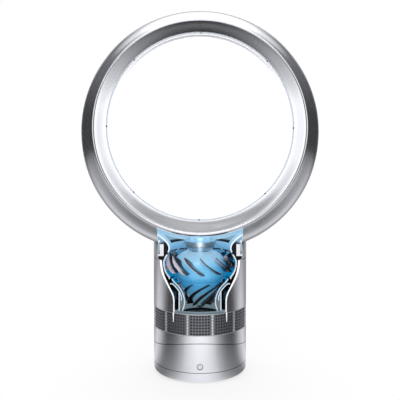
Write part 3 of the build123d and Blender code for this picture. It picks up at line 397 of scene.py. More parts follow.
def new_material(name, base, roughness=0.45, metallic=0.0, coat=0.0, grain=900.0, spread=0.05, bump=0.08):
    """A material with the fine grain in its roughness, tone and bump; base is a colour."""
    material = bpy.data.materials.new(name)
    material.use_nodes = True
    tree = material.node_tree
    shader = tree.nodes["Principled BSDF"]
    grained = place_group(tree, "Fine grain", Scale=grain, Roughness=roughness, Spread=spread)
    toned = blend_colours(tree, 1.0, base, grained["Tone"])
    toned.node.blend_type = "MULTIPLY"
    paint(tree, shader, toned)
    tree.links.new(grained["Roughness"], shader.inputs["Roughness"])
    raised = add_node(tree, "ShaderNodeBump", Height=grained["Height"], Strength=bump, Distance=0.0001)
    tree.links.new(raised.outputs[0], shader.inputs["Normal"])
    shader.inputs["Metallic"].default_value = metallic
    shader.inputs["Coat Weight"].default_value = coat
    return material, tree, shader, toned


def paint_section(tree, shader, base, inside, inside_shade_and_glow, cut, cut_face, strength):
    """Paints the inside faces with their painted shade and glow and the cut faces pale, and lets both glow:
    painted light.
    """
    with_inside_shade_and_glow = blend_colours(tree, inside, base, inside_shade_and_glow)
    paint(tree, shader, blend_colours(tree, cut, with_inside_shade_and_glow, cut_face))
    lit = blend_colours(tree, inside, (0, 0, 0), inside_shade_and_glow)
    let_glow(tree, shader, blend_colours(tree, cut, lit, cut_face), strength)


def silver_finish(finish, name, mask=None, inner=None, back=None, radial_walls=0.0):
    """Satin silver outside; where a mask is named, its faces take the inner colour, painted shade where it is
    dark and a painted glow where it is blue, and cut faces are pale and glow.

    The faces of the mask in the back half of the fan take the back colour, where there is one.
    """
    metallic = 0.97
    material, tree, shader, base = new_material(
        name, finish.silver, roughness=0.19, metallic=metallic, grain=2400.0, bump=0.03)
    if mask:
        faces = place_group(tree, "Section faces", Radial_Walls=radial_walls)
        if back:
            depth = parts_of(tree, coordinate(tree))["Y"]
            inner = blend_colours(tree, between(tree, depth, *NECK_BACK), inner, back)
        cut = faces["Cut"]
        if mask == "Loop Inward":       # what shows through the air slot is pale and glows too: painted light in the slot
            cut = maths(tree, "MAXIMUM", cut, faces["Slot"])
        paint_section(tree, shader, base, faces[mask], inner, cut, finish.cut_face, SHELL_GLOW)
        painted = maths(tree, "MAXIMUM", cut, faces[mask])
        tree.links.new(between(tree, painted, 0, 1, metallic, 0.0), shader.inputs["Metallic"])
    return material


def duct_finish(finish, name, air_side, air_top):
    """Half ducts with pale cut faces; the air side is grey low down and turns to another colour high up. The
    air side and the cut faces glow, painted light, and the rest is the dark of painted shade.
    """
    material, tree, shader, base = new_material(
        name, finish.inside_dark, roughness=0.35, grain=1200.0, bump=0.04)
    faces = place_group(tree, "Section faces")
    height = parts_of(tree, coordinate(tree))["Z"]
    low = between(tree, height, *DUCT_GREY, 1.0, 0.0)
    upper = blend_colours(tree, between(tree, height, *DUCT_PALE), air_side, air_top)
    air = blend_colours(tree, low, upper, finish.air_grey)
    paint_section(tree, shader, base, faces["Inward"], air, faces["Cut"], finish.cut_face, DUCT_GLOW)
    return material


def vane_finish(finish, name):
    """Black vanes with a painted highlight: faces towards the left, but not low down on the right of the fan,
    and outer halves on the left of the fan are pale.
    """
    material, tree, shader, base = new_material(
        name, finish.smoke, roughness=0.16, coat=0.6, grain=1200.0, bump=0.02)
    spot = parts_of(tree, coordinate(tree))
    facing = parts_of(tree, coordinate(tree, "Normal"))
    left = between(tree, spot["X"], *VANE_LEFT)
    right = between(tree, spot["X"], *VANE_RIGHT)
    below = maths(tree, "SUBTRACT", 1.0, between(tree, spot["Z"], *VANE_LIT))
    unshaded = maths(tree, "SUBTRACT", 1.0, product(tree, right, below))
    leftward = product(tree, between(tree, facing["X"], -0.15, -0.5), unshaded)
    outer = between(tree, length_of(tree, spot["X"], spot["Y"]), *VANE_OUTER)
    # the pale is a painted highlight
    pale = maths(tree, "MAXIMUM", leftward, product(tree, left, outer))
    paint(tree, shader, blend_colours(tree, pale, base, finish.vane_painted_highlight))
    return material


def air_finish(finish, name, low, high):
    """Glowing blue, painted light: a painted highlight where the surface faces the front, a paler glow at the
    top and teal at the bottom.
    """
    material, tree, shader, base = new_material(
        name, finish.air_deep, roughness=0.3, coat=0.4, grain=1400.0, bump=0.03)
    facing = parts_of(tree, coordinate(tree, "Normal"))["Y"]
    height = parts_of(tree, coordinate(tree))["Z"]
    ahead = product(tree, between(tree, facing, -0.35, -1.0), between(tree, height, *BOWL_LIGHT, 0.45, 0.95))
    blue = blend_colours(tree, ahead, base, finish.air_light)
    crowned = blend_colours(tree, between(tree, height, *BOWL_CROWN), blue, finish.air_high)
    mixed = blend_colours(tree, between(tree, height, low, high, 1.0, 0.0), crowned, finish.air_teal)
    paint(tree, shader, mixed)
    let_glow(tree, shader, mixed, AIR_GLOW)
    return material


# ---- modelling helpers
def clear_selection():
    if bpy.context.object and bpy.context.object.mode != "OBJECT":
        leave_edit()
    bpy.ops.object.select_all(action="DESELECT")


def make_active(piece):
    clear_selection()
    piece.select_set(True)
    bpy.context.view_layer.objects.active = piece


def apply_modifiers(piece):
    make_active(piece)
    for modifier in list(piece.modifiers):
        bpy.ops.object.modifier_apply(modifier=modifier.name)


def enter_edit():
    bpy.ops.object.mode_set(mode="EDIT")


def leave_edit():
    bpy.ops.object.mode_set(mode="OBJECT")


def edit_all():
    """Edit mode with the whole mesh selected."""
    enter_edit()
    bpy.ops.mesh.select_all(action="SELECT")


def finish_edit():
    """Turns all faces outwards and leaves edit mode."""
    bpy.ops.mesh.select_all(action="SELECT")
    bpy.ops.mesh.normals_make_consistent(inside=False)
    leave_edit()


def thicken(piece, wall, offset=-1):
    solid = piece.modifiers.new("Wall", "SOLIDIFY")
    solid.thickness = wall
    solid.offset = offset
    apply_modifiers(piece)


def place_in_mesh(piece):
    make_active(piece)
    bpy.ops.object.transform_apply(location=True, rotation=True, scale=True)


def round_over(piece, width, segments=2):
    """Bevels the edges."""
    bevel = piece.modifiers.new("Edges", "BEVEL")
    bevel.width = width
    bevel.segments = segments
    bevel.limit_method = "ANGLE"
    bevel.angle_limit = math.radians(40)
    apply_modifiers(piece)


def turned_wall(name, line, wall, segments=96):
    """A turned wall from a (radius, height) line in metres: a circle, extruded and scaled up the line."""
    clear_selection()
    radius, height = line[0]
    bpy.ops.mesh.primitive_circle_add(vertices=segments, radius=radius, location=(0, 0, height))
    piece = bpy.context.object
    piece.name = name
    place_in_mesh(piece)
    edit_all()
    for (old, low), (new, high) in zip(line, line[1:]):
        bpy.ops.mesh.extrude_region_move(TRANSFORM_OT_translate={"value": (0, 0, high - low)})
        bpy.ops.transform.resize(value=(new / old, new / old, 1), center_override=(0, 0, high))
    finish_edit()
    face = piece.data.polygons[0]
    if face.normal.x * face.center.x + face.normal.y * face.center.y < 0:   # the wall grows inward
        enter_edit()
        bpy.ops.mesh.flip_normals()
        leave_edit()
    thicken(piece, wall)
    return piece


def lofted_blade(name, slices):
    """A blade from level slices of (height, angle, inner, outer, thickness), in metres and radians."""
    step = 0.001        # how far each new slice is raised before its corners are set
    clear_selection()
    bpy.ops.mesh.primitive_plane_add(size=1)
    piece = bpy.context.object
    piece.name = name
    edit_all()
    for index, (height, angle, inner, outer, thickness) in enumerate(slices):
        if index:
            bpy.ops.mesh.extrude_region_move(TRANSFORM_OT_translate={"value": (0, 0, step)})
        leave_edit()
        corners = [vertex for vertex in piece.data.vertices if vertex.select]
        if not index:
            order = {vertex.index: (vertex.co.x > 0, vertex.co.y > 0) for vertex in corners}
            spots = {vertex.index: vertex.co.copy() for vertex in corners}
        else:
            order = {vertex.index: before[nearest(vertex.co, spots)] for vertex in corners}
        turn = Matrix.Rotation(angle, 3, "Z")
        for vertex in corners:
            far_out, ahead = order[vertex.index]
            half = thickness / 2 if ahead else -thickness / 2
            vertex.co = turn @ Vector((outer if far_out else inner, half, 0))
            vertex.co.z = height
        spots = {vertex.index: vertex.co + Vector((0, 0, step)) for vertex in corners}
        before = order
        enter_edit()
    finish_edit()
    return piece


def nearest(spot, spots):
    return min(spots, key=lambda index: (spots[index] - spot).length)


def copies_round(piece, count):
    """Copies of a piece, each with its own mesh, evenly round the upright axis and joined to it."""
    turned = []
    for index in range(1, count):
        copy = piece.copy()
        copy.data = piece.data.copy()
        copy.data.transform(Matrix.Rotation(2 * math.pi * index / count, 4, "Z"))
        bpy.context.collection.objects.link(copy)
        turned.append(copy)
    make_active(piece)
    for copy in turned:
        copy.select_set(True)
    bpy.ops.object.join()
    return piece


def finished(piece, body, material, replaced, smooth=35):
    """The piece's last steps: its place, its finish and the body that it moves with."""
    place_in_mesh(piece)
    piece.data.materials.clear()
    piece.data.materials.append(material)
    bpy.ops.object.shade_smooth_by_angle(angle=math.radians(smooth))
    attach(piece, body)
    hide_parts(*replaced)


def repaint(names, material):
    for name in names:
        for slot in NODES[name].material_slots:
            slot.material = material


def radius_on(line, height):
    """Radius of a (radius, height) line at a height."""
    ordered = sorted(line, key=lambda point: point[1])
    for (low_radius, low), (high_radius, high) in zip(ordered, ordered[1:]):
        if low <= height <= high:
            return low_radius + (height - low) / (high - low) * (high_radius - low_radius)
    return ordered[0][0] if height < ordered[0][1] else ordered[-1][0]


def in_metres(line):
    return [(radius * MM, height * MM) for radius, height in line]


def levels(start, end, steps):
    """Heights from start to end, each after its share of the way."""
    for step in range(steps):
        share = step / (steps - 1)
        yield share, start + share * (end - start)


# ---- pieces
class FAN_OT_shells(bpy.types.Operator):
    """Gives the outer shells their satin silver, with dark insides as painted shade, a painted blue glow
    inside the back of the neck and in the loop, and pale cut faces that glow
    """
    bl_idname = "fan.shells"
    bl_label = "Silver shells"

    def execute(self, context):
        finish = context.scene.fan_finish
        repaint(("foot_shell", "lower_shell", "lower_casing"), silver_finish(finish, "Satin silver"))
        dark, high = finish.inside_dark, finish.air_high
        repaint(("main_casing",), silver_finish(
            finish, "Silver casing, cut", "Inward", dark, radial_walls=1.0))
        repaint(("nozzle_neck",), silver_finish(finish, "Silver neck, cut", "Inward", dark, high))
        repaint(("nozzle_outer_shell",), silver_finish(finish, "Silver loop, cut", "Loop Inward", high))
        repaint(("nozzle_inner_wall",), silver_finish(finish, "Silver air face", "Loop Hidden", high))
        return {"FINISHED"}


class FAN_OT_ducts(bpy.types.Operator):
    """Gives the half ducts of the air path their finish"""
    bl_idname = "fan.ducts"
    bl_label = "Cut ducts"

    def execute(self, context):
        finish = context.scene.fan_finish
        repaint(("inlet_bellmouth", "impeller_housing", "diffuser_housing", "nozzle_duct"),
                duct_finish(finish, "Duct, cut", finish.duct_blue, finish.air_high))
        # the lock ring is the dark of painted shade, with pale cut faces that glow
        dark = finish.inside_dark
        repaint(("lock_ring",), duct_finish(finish, "Lock ring, cut", dark, dark))
        foam, tree, shader, base = new_material(
            "Teal foam", (0.03, 0.16, 0.20), roughness=0.9, grain=1500.0, spread=0.1, bump=0.8)
        # darker spots at the cells' middles: painted shade of the foam's pores
        cells = add_node(tree, "ShaderNodeTexVoronoi", Scale=700.0, Vector=coordinate(tree))
        depth = between(tree, cells.outputs["Distance"], 0.1, 0.6)
        paint(tree, shader, blend_colours(tree, depth, (0.01, 0.05, 0.07), base))
        repaint(("silencing_foam",), foam)
        return {"FINISHED"}


class FAN_OT_mechanism(bpy.types.Operator):
    """Gives the foot, drive, base, tilt and motor parts their plastics, rubbers and metals"""
    bl_idname = "fan.mechanism"
    bl_label = "Mechanism"

    def execute(self, context):
        steel = new_material("Zinc steel", (0.58, 0.58, 0.60), 0.3, metallic=1.0, grain=1800.0, bump=0.05)[0]
        dark = new_material("Black moulding", (0.022, 0.022, 0.025), 0.5, grain=1600.0, bump=0.12)[0]
        rubber = new_material("Rubber", (0.012, 0.012, 0.013), 0.8, grain=1100.0, bump=0.25)[0]
        gear = new_material("Gear nylon", (0.62, 0.60, 0.53), 0.42, grain=1300.0, bump=0.06)[0]
        bronze = new_material(
            "Sintered bronze", (0.42, 0.28, 0.13), 0.4, metallic=1.0, grain=2200.0, bump=0.2)[0]
        button = new_material("Button", (0.80, 0.81, 0.84), 0.35, grain=1500.0, bump=0.05)[0]
        bezel = new_material("Bezel", (0.34, 0.35, 0.38), 0.35, metallic=0.6, grain=1500.0, bump=0.05)[0]
        board, tree, shader, base = new_material(
            "Circuit board", (0.02, 0.14, 0.06), 0.35, coat=0.5, bump=0.05)
        tracks = add_node(tree, "ShaderNodeTexBrick", Scale=130.0, Vector=coordinate(tree))
        paint(tree, shader, blend_colours(tree, tracks.outputs["Fac"], base, (0.05, 0.25, 0.12)))
        coil, tree, shader = new_material(
            "Wound copper", (0.55, 0.22, 0.08), 0.35, metallic=0.9, bump=0.1)[:3]
        turns = add_node(tree, "ShaderNodeTexWave", Scale=420.0, Vector=coordinate(tree))
        turns.bands_direction = "Z"
        wound = add_node(tree, "ShaderNodeBump", Height=turns.outputs["Fac"], Strength=0.6, Distance=0.0003)
        tree.links.new(wound.outputs[0], shader.inputs["Normal"])
        repaint(("foot_screws", "spindle_clip", "turntable_screws", "cradle_screws", "board_screws",
                 "runner_screws", "shoe_screws", "rotor_shaft", "impeller_nut", "lower_bearing",
                 "upper_bearing", "button_spring", "oscillation_motor"), steel)
        repaint(("foot_plate", "turntable_plate", "cord_gland", "tilt_cradle", "tilt_shoe",
                 "slot_spacers", "turntable_spindle"), dark)
        repaint(("rubber_feet", "nozzle_seal"), rubber)
        repaint(("foot_gear", "drive_pinion", "glide_ring", "tilt_runners"), gear)
        repaint(("turntable_bush",), bronze)
        repaint(("power_button",), button)
        repaint(("button_bezel",), bezel)
        repaint(("control_board", "switch_board"), board)
        repaint(("motor_stator", "rotor_magnet"), coil)
        return {"FINISHED"}


class FAN_OT_grille(bpy.types.Operator):
    """Models the perforated inlet grille: panels of holes, beaded ribs and two edge rings"""
    bl_idname = "fan.grille"
    bl_label = "Inlet grille"
    # insets are from the outside of the body
    inset = 0.0003
    seam = 0.00005          # corners closer than this are merged
    bevel = 0.0002
    rib_inset = 0.0002
    rib_depth = 0.0008
    bead_bevel = 0.00025
    ring_inset = 0.0001
    ring_wall = 0.0018
    collar_inset = 0.0034
    collar_wall = 0.0014
    collar_reach = 0.003    # up and down from the top of the grille
    collar_bevel = 0.0003
    shade_sheet_inset = 0.002
    shade_sheet_edge = 0.001      # short of the grille's edges
    shade_sheet_wall = 0.0004
    trim_side = 0.0386      # how far the window's edges stand to each side at the grille
    trim_length = 0.0135
    trim_top = 0.0009       # half widths of a strip
    trim_foot = 0.0003
    trim_gap = 0.0002
    trim_wall = 0.0005

    def band(self, sizes, name, inset, low, high, wall, segments=128):
        outer = sizes.body_radius - inset
        return turned_wall(name, [(outer, low), (outer, high)], wall, segments)

    def fit(self, piece, material, slot="dark_grille"):
        finished(piece, "main_body", material, ("inlet_grille",))

    def panel(self, sizes):
        """One flat panel of holes, bent to the body."""
        pitch = sizes.hole_pitch
        clear_selection()
        bpy.ops.mesh.primitive_plane_add(size=pitch, rotation=(math.pi / 2, 0, 0))
        sheet = bpy.context.object
        sheet.name = "grille_panels"
        place_in_mesh(sheet)
        edit_all()
        bpy.ops.mesh.subdivide(number_cuts=1)
        bpy.ops.mesh.inset(thickness=pitch / 8)
        leave_edit()
        for vertex in sheet.data.vertices:      # between the middle and the edges: the rim of the hole
            aside = max(abs(vertex.co.x), abs(vertex.co.z))
            if vertex.co.length > 0.01 * pitch and aside < 0.45 * pitch:
                vertex.co = vertex.co.normalized() * sizes.hole_width / 2
        enter_edit()
        bpy.ops.mesh.select_all(action="DESELECT")
        leave_edit()
        for face in sheet.data.polygons:
            face.select = face.center.length < 0.35 * pitch
        enter_edit()
        bpy.ops.mesh.delete(type="FACE")
        leave_edit()
        for label, count, offset in (("Across", sizes.grille_columns, (pitch, 0, 0)),
                                     ("Up", sizes.grille_rows, (0, 0, pitch))):
            row = sheet.modifiers.new(label, "ARRAY")
            row.use_relative_offset = False
            row.use_constant_offset = True
            row.constant_offset_displace = offset
            row.count = count
            row.use_merge_vertices = True
            row.merge_threshold = pitch / 50
        apply_modifiers(sheet)
        half = math.pi * sizes.body_radius / sizes.grille_panels       # half of a panel along the body
        width = (sizes.grille_columns - 1) * pitch
        height = (sizes.grille_rows - 1) * pitch
        middle = sizes.grille_bottom + sizes.grille_height / 2
        sheet.data.transform(Matrix.Translation((-width / 2, 0, middle - height / 2)))
        for vertex in sheet.data.vertices:
            if abs(abs(vertex.co.x) - (width + pitch) / 2) < pitch / 50:
                vertex.co.x = math.copysign(half, vertex.co.x)
        bend = sheet.modifiers.new("Round the body", "SIMPLE_DEFORM")
        bend.deform_method = "BEND"
        bend.deform_axis = "Z"
        bend.angle = 2 * math.pi / sizes.grille_panels
        apply_modifiers(sheet)
        middle_spot = min(sheet.data.vertices, key=lambda vertex: abs(vertex.co.x)).co.y
        ends = max(sheet.data.vertices, key=lambda vertex: abs(vertex.co.x)).co.y
        if ends < middle_spot:      # the middle of the panel stands out towards the front
            sheet.data.transform(Matrix.Scale(-1, 4, (0, 1, 0)))
            middle_spot = -middle_spot
        sheet.data.transform(Matrix.Translation((0, self.inset - sizes.body_radius - middle_spot, 0)))
        return sheet

    def trims(self, sizes, finish):
        """Two tapered pale strips that carry the edges of the window on down over the grille."""
        top = sizes.grille_bottom + sizes.grille_height
        clear_selection()
        bpy.ops.mesh.primitive_plane_add(size=1, rotation=(math.pi / 2, 0, 0))
        strip = bpy.context.object
        strip.name = "window_trims"
        place_in_mesh(strip)
        for vertex in strip.data.vertices:
            high = vertex.co.z > 0
            side = math.copysign(self.trim_top if high else self.trim_foot, vertex.co.x)
            drop = self.trim_gap if high else self.trim_length
            vertex.co = (side, self.inset - sizes.body_radius, top - drop)
        thicken(strip, self.trim_wall, offset=0)
        strip.data.transform(Matrix.Rotation(math.asin(self.trim_side / sizes.body_radius), 4, "Z"))
        mirrored = strip.modifiers.new("Other side", "MIRROR")
        mirrored.use_axis = (True, False, False)
        apply_modifiers(strip)
        white, tree, shader, base = new_material(
            "Window trim", finish.cut_face, 0.4, grain=1500.0, bump=0.05)
        # the pale strips glow: painted light
        let_glow(tree, shader, base, TRIM_GLOW)
        self.fit(strip, white, slot="duct_white")

    def execute(self, context):
        sizes, finish = context.scene.fan_sizes, context.scene.fan_finish
        metal = new_material(
            "Perforated sheet", finish.grille, 0.38, metallic=0.55, grain=1600.0, bump=0.08)[0]
        rib_metal = new_material(
            "Grille rib", finish.grille_rib, 0.3, metallic=0.7, grain=1600.0, bump=0.05)[0]
        sheet = copies_round(self.panel(sizes), sizes.grille_panels)
        edit_all()
        bpy.ops.mesh.remove_doubles(threshold=self.seam)
        finish_edit()
        thicken(sheet, sizes.sheet)
        self.fit(sheet, metal)

        height = sizes.hole_pitch * sizes.grille_rows
        middle = sizes.grille_bottom + sizes.grille_height / 2
        face = self.rib_inset - sizes.body_radius
        clear_selection()
        bpy.ops.mesh.primitive_cube_add(
            size=1, location=(0, face, middle), scale=(sizes.rib_width, self.rib_depth, height))
        rib = bpy.context.object
        rib.name = "grille_ribs"
        place_in_mesh(rib)
        round_over(rib, self.bevel)
        beads = []
        for row in range(sizes.grille_rows):
            clear_selection()
            bpy.ops.mesh.primitive_cylinder_add(
                vertices=16, radius=sizes.bead_width / 2, depth=self.rib_depth, rotation=(math.pi / 2, 0, 0),
                location=(0, face, middle - height / 2 + (row + 0.5) * sizes.hole_pitch))
            bead = bpy.context.object
            place_in_mesh(bead)
            round_over(bead, self.bead_bevel)
            beads.append(bead)
        make_active(rib)
        for bead in beads:
            bead.select_set(True)
        bpy.ops.object.join()
        rib.data.transform(Matrix.Rotation(math.pi / sizes.grille_panels, 4, "Z"))
        copies_round(rib, sizes.grille_panels)
        self.fit(rib, rib_metal)

        rim = (sizes.grille_height - height) / 2
        top = sizes.grille_bottom + sizes.grille_height
        gap = self.ring_inset
        for name, low in (("grille_upper_ring", top - rim), ("grille_lower_ring", sizes.grille_bottom)):
            ring = self.band(sizes, name, gap, low + gap, low + rim - gap, self.ring_wall)
            round_over(ring, self.bevel)
            self.fit(ring, rib_metal)
        collar = self.band(sizes, "grille_collar", self.collar_inset, top - self.collar_reach,
                           top + self.collar_reach, self.collar_wall, segments=96)
        round_over(collar, self.collar_bevel)
        # the collar takes the grey-teal of the air path's painted light
        painted_blue_tint = new_material("Collar", finish.air_grey, 0.5, grain=1600.0, bump=0.08)[0]
        self.fit(collar, painted_blue_tint)

        self.trims(sizes, finish)
        # painted shade: a dark banded sheet inside the grille darkens what shows through its holes; its
        # inward faces take the grey-teal of the air path's painted light
        shade_sheet = self.band(sizes, "grille_shade_sheet", self.shade_sheet_inset, sizes.grille_bottom + self.shade_sheet_edge,
                          top - self.shade_sheet_edge, self.shade_sheet_wall)
        shade_sheet_material, tree, shader, base = new_material(
            "Painted shade sheet", finish.inside_dark, 0.7, grain=1400.0, bump=0.3)
        inward = place_group(tree, "Section faces")["Inward"]
        sheet_bands = add_node(tree, "ShaderNodeTexWave", Scale=600.0, Vector=coordinate(tree))
        sheet_bands.bands_direction = "Z"
        banded_shade = blend_colours(tree, sheet_bands.outputs["Fac"], base, (0.05, 0.05, 0.056))
        paint(tree, shader, blend_colours(tree, inward, banded_shade, finish.air_grey))
        self.fit(shade_sheet, shade_sheet_material)
        return {"FINISHED"}


class FAN_OT_bucket(bpy.types.Operator):
    """Models the motor bucket and its guide vanes, and finishes the motor cap"""
    bl_idname = "fan.bucket"
    bl_label = "Motor bucket"

    def execute(self, context):
        sizes, finish = context.scene.fan_sizes, context.scene.fan_finish
        bowl = turned_wall("motor_bucket_bowl", in_metres(BUCKET_LINE), sizes.bucket_wall)
        blue = air_finish(finish, "Bucket blue", *BOWL_TEAL)
        finished(bowl, "main_body", blue, ("motor_bucket",))
        gap, bite = 0.6, 1.0        # off the duct's line, and into the bucket's
        tip, deeper, full_depth = 3.0, 14.0, 0.35   # depth at the top, its growth and where that ends
        thin, growth, swelling = 2.2, 2.6, 2.6      # thickness, with a swelling low down
        swell_place, swell_width = 0.88, 0.10
        slices = []
        for share, height in levels(*VANE_LEVELS):
            outer = radius_on(DUCT_LINE, height) - gap
            depth = tip + deeper * min(1.0, share / full_depth)
            inner = max(radius_on(BUCKET_LINE, height) - bite, outer - depth)
            angle = -math.pi / 2 + sizes.vane_wrap * share**1.25
            swell = math.exp(-((share - swell_place) / swell_width)**2)
            thick = thin + growth * share + swelling * swell
            slices.append((height * MM, angle, inner * MM, outer * MM, thick * MM))
        vane = lofted_blade("guide_vanes", slices)
        round_over(vane, BLADE_BEVEL, segments=3)
        copies_round(vane, sizes.vane_count)
        smoke = vane_finish(finish, "Smoked vane")
        finished(vane, "main_body", smoke, ("motor_bucket",), smooth=50)
        cap, tree, shader, base = new_material(
            "Motor cap metal", finish.cap, 0.22, metallic=0.6, grain=1500.0, bump=0.04)
        # painted light: a painted highlight runs down the middle of the cap, and its top disc is a pale blue
        # that glows
        spot = parts_of(tree, coordinate(tree))
        disc = between(tree, spot["Z"], *CAP_DISC)
        cap_highlight = between(tree, maths(tree, "ABSOLUTE", spot["X"]), *CAP_HIGHLIGHT, 1.0, 0.0)
        bright = blend_colours(tree, cap_highlight, base, (0.85, 0.93, 0.98))
        pale = blend_colours(tree, disc, bright, (0.45, 0.74, 0.95))
        paint(tree, shader, pale)
        lit = maths(tree, "MAXIMUM", disc, product(tree, cap_highlight, 0.4))
        let_glow(tree, shader, blend_colours(tree, lit, (0.02, 0.05, 0.07), pale), AIR_GLOW)
        repaint(("motor_cap",), cap)
        return {"FINISHED"}


class FAN_OT_impeller(bpy.types.Operator):
    """Models the mixed-flow impeller: its hub and blades"""
    bl_idname = "fan.impeller"
    bl_label = "Impeller"

    def execute(self, context):
        sizes, finish = context.scene.fan_sizes, context.scene.fan_finish
        hub = turned_wall("impeller_hub", in_metres(HUB_LINE), HUB_WALL)
        blue = air_finish(finish, "Impeller blue", *HUB_TEAL)
        finished(hub, "rotor", blue, ("impeller",))
        gap, bite = 0.9, 1.2        # off the shroud's line, and into the hub's
        thin, belly = 2.4, 4.4      # least thickness, and what the middle adds
        slices = []
        for share, height in levels(*BLADE_LEVELS):
            inner = radius_on(HUB_LINE, height) - bite
            outer = radius_on(SHROUD_LINE, height) - gap
            thick = thin + belly * math.sin(math.pi * (0.1 + 0.8 * share))
            slices.append((height * MM, sizes.blade_wrap * share, inner * MM, outer * MM, thick * MM))
        blade = lofted_blade("impeller_blades", slices)
        round_over(blade, BLADE_BEVEL, segments=3)
        copies_round(blade, sizes.blade_count)
        smoke = new_material("Smoked blade", finish.smoke, 0.16, coat=0.6, grain=1200.0, bump=0.02)[0]
        finished(blade, "rotor", smoke, ("impeller",), smooth=50)
        return {"FINISHED"}


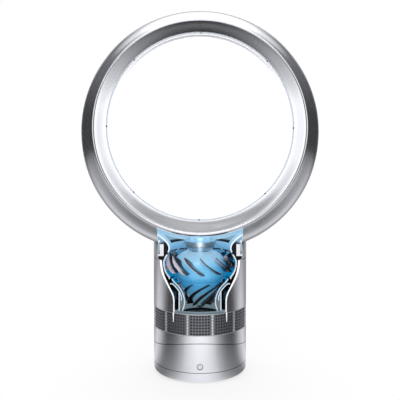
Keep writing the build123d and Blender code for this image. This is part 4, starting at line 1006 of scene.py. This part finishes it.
# ---- stage
class FAN_OT_stage(bpy.types.Operator):
    """Sets the pale floor, the soft studio light and the camera"""
    bl_idname = "fan.stage"
    bl_label = "Stage"

    def mix_shaders(self, tree, factor, first, second, output):
        mixed = add_node(tree, "ShaderNodeMixShader", Fac=factor)
        tree.links.new(first.outputs[0], mixed.inputs[1])
        tree.links.new(second.outputs[0], mixed.inputs[2])
        tree.links.new(mixed.outputs[0], tree.nodes[output].inputs["Surface"])

    def floor(self):
        clear_selection()
        bpy.ops.mesh.primitive_circle_add(
            vertices=96, radius=FLOOR_RADIUS, fill_type="NGON", location=(0, 0, -FLOOR_DROP))
        floor = bpy.context.object
        floor.name = "stage_floor"
        place_in_mesh(floor)
        material = bpy.data.materials.new("Pale floor")
        material.use_nodes = True
        tree = material.node_tree
        shader = tree.nodes["Principled BSDF"]
        shader.inputs["Base Color"].default_value = (*FLOOR_PAINT, 1)
        shader.inputs["Roughness"].default_value = 0.9
        shader.inputs["Specular IOR Level"].default_value = 0.0
        ray = tree.nodes.new("ShaderNodeLightPath").outputs
        place = coordinate(tree)
        walls = place_group(tree, "Studio floor", Direction=place)
        behind = walls["Behind"]
        distance = vector_maths(tree, "LENGTH", place)["Value"]
        corner = product(tree, between(tree, behind, *CORNER), between(tree, distance, *CORNER_REACH))
        horizon = place_group(tree, "Studio horizon", Direction=place)["Color"]
        beside = product(
            tree, between(tree, behind, *SIDES_BEGIN), between(tree, behind, *SIDES_END, 1.0, 0.0))
        far = maths(tree, "MAXIMUM", between(tree, distance, *FAR_FADE),
                    product(tree, beside, between(tree, distance, *SIDE_FADE)))
        faded = blend_colours(tree, far, walls["Color"], horizon)
        dimmed = blend_colours(tree, corner, faded, CORNER_DARK)
        shown = blend_colours(tree, ray["Is Camera Ray"], dimmed, (1, 1, 1))
        glow = add_node(tree, "ShaderNodeEmission", Color=shown, Strength=1.0)
        seen = maths(tree, "MAXIMUM", ray["Is Camera Ray"], ray["Is Glossy Ray"])
        away = between(tree, distance, *FOOT_SHADE, 0.72, 1.0)
        self.mix_shaders(tree, product(tree, seen, away), shader, glow, "Material Output")
        floor.data.materials.append(material)

    def world(self, scene):
        world = bpy.data.worlds.new("Studio")
        scene.world = world
        world.use_nodes = True
        tree = world.node_tree
        lit = tree.nodes["Background"]
        direction = coordinate(tree, "Generated")
        studio = place_group(tree, "Studio horizon", Direction=direction)
        beside = between(tree, studio["Behind"], *BACK_OPENS, 1.0, 0.0)
        rise = parts_of(tree, direction)["Z"]
        band = product(tree, between(tree, rise, *BAND), beside)
        bright = product(
            tree, between(tree, rise, *BRIGHT_BEGIN), between(tree, rise, *BRIGHT_END, 0.85, 0.0))
        band = maths(tree, "MAXIMUM", band, bright)
        low = blend_colours(tree, band, studio["Color"], BAND_GREY)
        sky = blend_colours(tree, between(tree, rise, *SKY), low, SKY_LIGHT)
        tree.links.new(sky, lit.inputs["Color"])
        lit.inputs["Strength"].default_value = 1.0
        plain = add_node(tree, "ShaderNodeBackground", Color=(1, 1, 1, 1), Strength=1.0)
        seen = tree.nodes.new("ShaderNodeLightPath").outputs["Is Camera Ray"]
        self.mix_shaders(tree, seen, lit, plain, "World Output")

    def lamp(self, name, spot, target):
        data = bpy.data.lights.new(name, "AREA")
        data.shape = "RECTANGLE"
        data.size, data.size_y = LAMP_SIZE
        data.energy = LAMP_POWER
        lamp = bpy.data.objects.new(name, data)
        bpy.context.collection.objects.link(lamp)
        lamp.location = spot
        lamp.rotation_euler = (Vector(target) - Vector(spot)).to_track_quat("-Z", "Y").to_euler()

    def execute(self, context):
        scene = context.scene
        scene.view_settings.view_transform = "Standard"
        self.floor()
        self.world(scene)
        for name, spot, target in LAMPS:
            self.lamp(name, spot, target)
        data = bpy.data.cameras.new("Photograph")
        data.lens = CAMERA_LENS
        data.shift_y = CAMERA_SHIFT
        data.clip_start = 0.01
        camera = bpy.data.objects.new("Photograph", data)
        context.collection.objects.link(camera)
        camera.location = CAMERA_PLACE
        camera.rotation_euler = (math.pi / 2 - CAMERA_PITCH, 0, 0)
        scene.camera = camera
        return {"FINISHED"}


class FAN_PT_panel(bpy.types.Panel):
    """The fan's building steps, sizes and colours"""
    bl_idname = "FAN_PT_panel"
    bl_label = "Bladeless fan"
    bl_space_type = "VIEW_3D"
    bl_region_type = "UI"
    bl_category = "Fan"

    def draw(self, context):
        for operator in OPERATORS:
            self.layout.operator(operator.bl_idname)
        for group in (context.scene.fan_sizes, context.scene.fan_finish):
            column = self.layout.column()
            for name in group.__annotations__:
                column.prop(group, name)


OPERATORS = (FAN_OT_shells, FAN_OT_ducts, FAN_OT_mechanism, FAN_OT_grille, FAN_OT_bucket, FAN_OT_impeller,
             FAN_OT_stage)
CLASSES = (FanSizes, FanFinish) + OPERATORS + (FAN_PT_panel,)


def register():
    for cls in CLASSES:
        bpy.utils.register_class(cls)
    bpy.types.Scene.fan_sizes = bpy.props.PointerProperty(type=FanSizes)
    bpy.types.Scene.fan_finish = bpy.props.PointerProperty(type=FanFinish)


def unregister():
    del bpy.types.Scene.fan_sizes
    del bpy.types.Scene.fan_finish
    for cls in reversed(CLASSES):
        bpy.utils.unregister_class(cls)


def main():
    register()
    make_groups(bpy.context.scene.fan_sizes)
    make_studio_group("Studio floor", FLOOR_STOPS)
    make_studio_group("Studio horizon", HORIZON_STOPS)
    bpy.ops.fan.shells()
    bpy.ops.fan.ducts()
    bpy.ops.fan.mechanism()
    bpy.ops.fan.grille()
    bpy.ops.fan.bucket()
    bpy.ops.fan.impeller()
    bpy.ops.fan.stage()


if __name__ == "__main__":
    main()
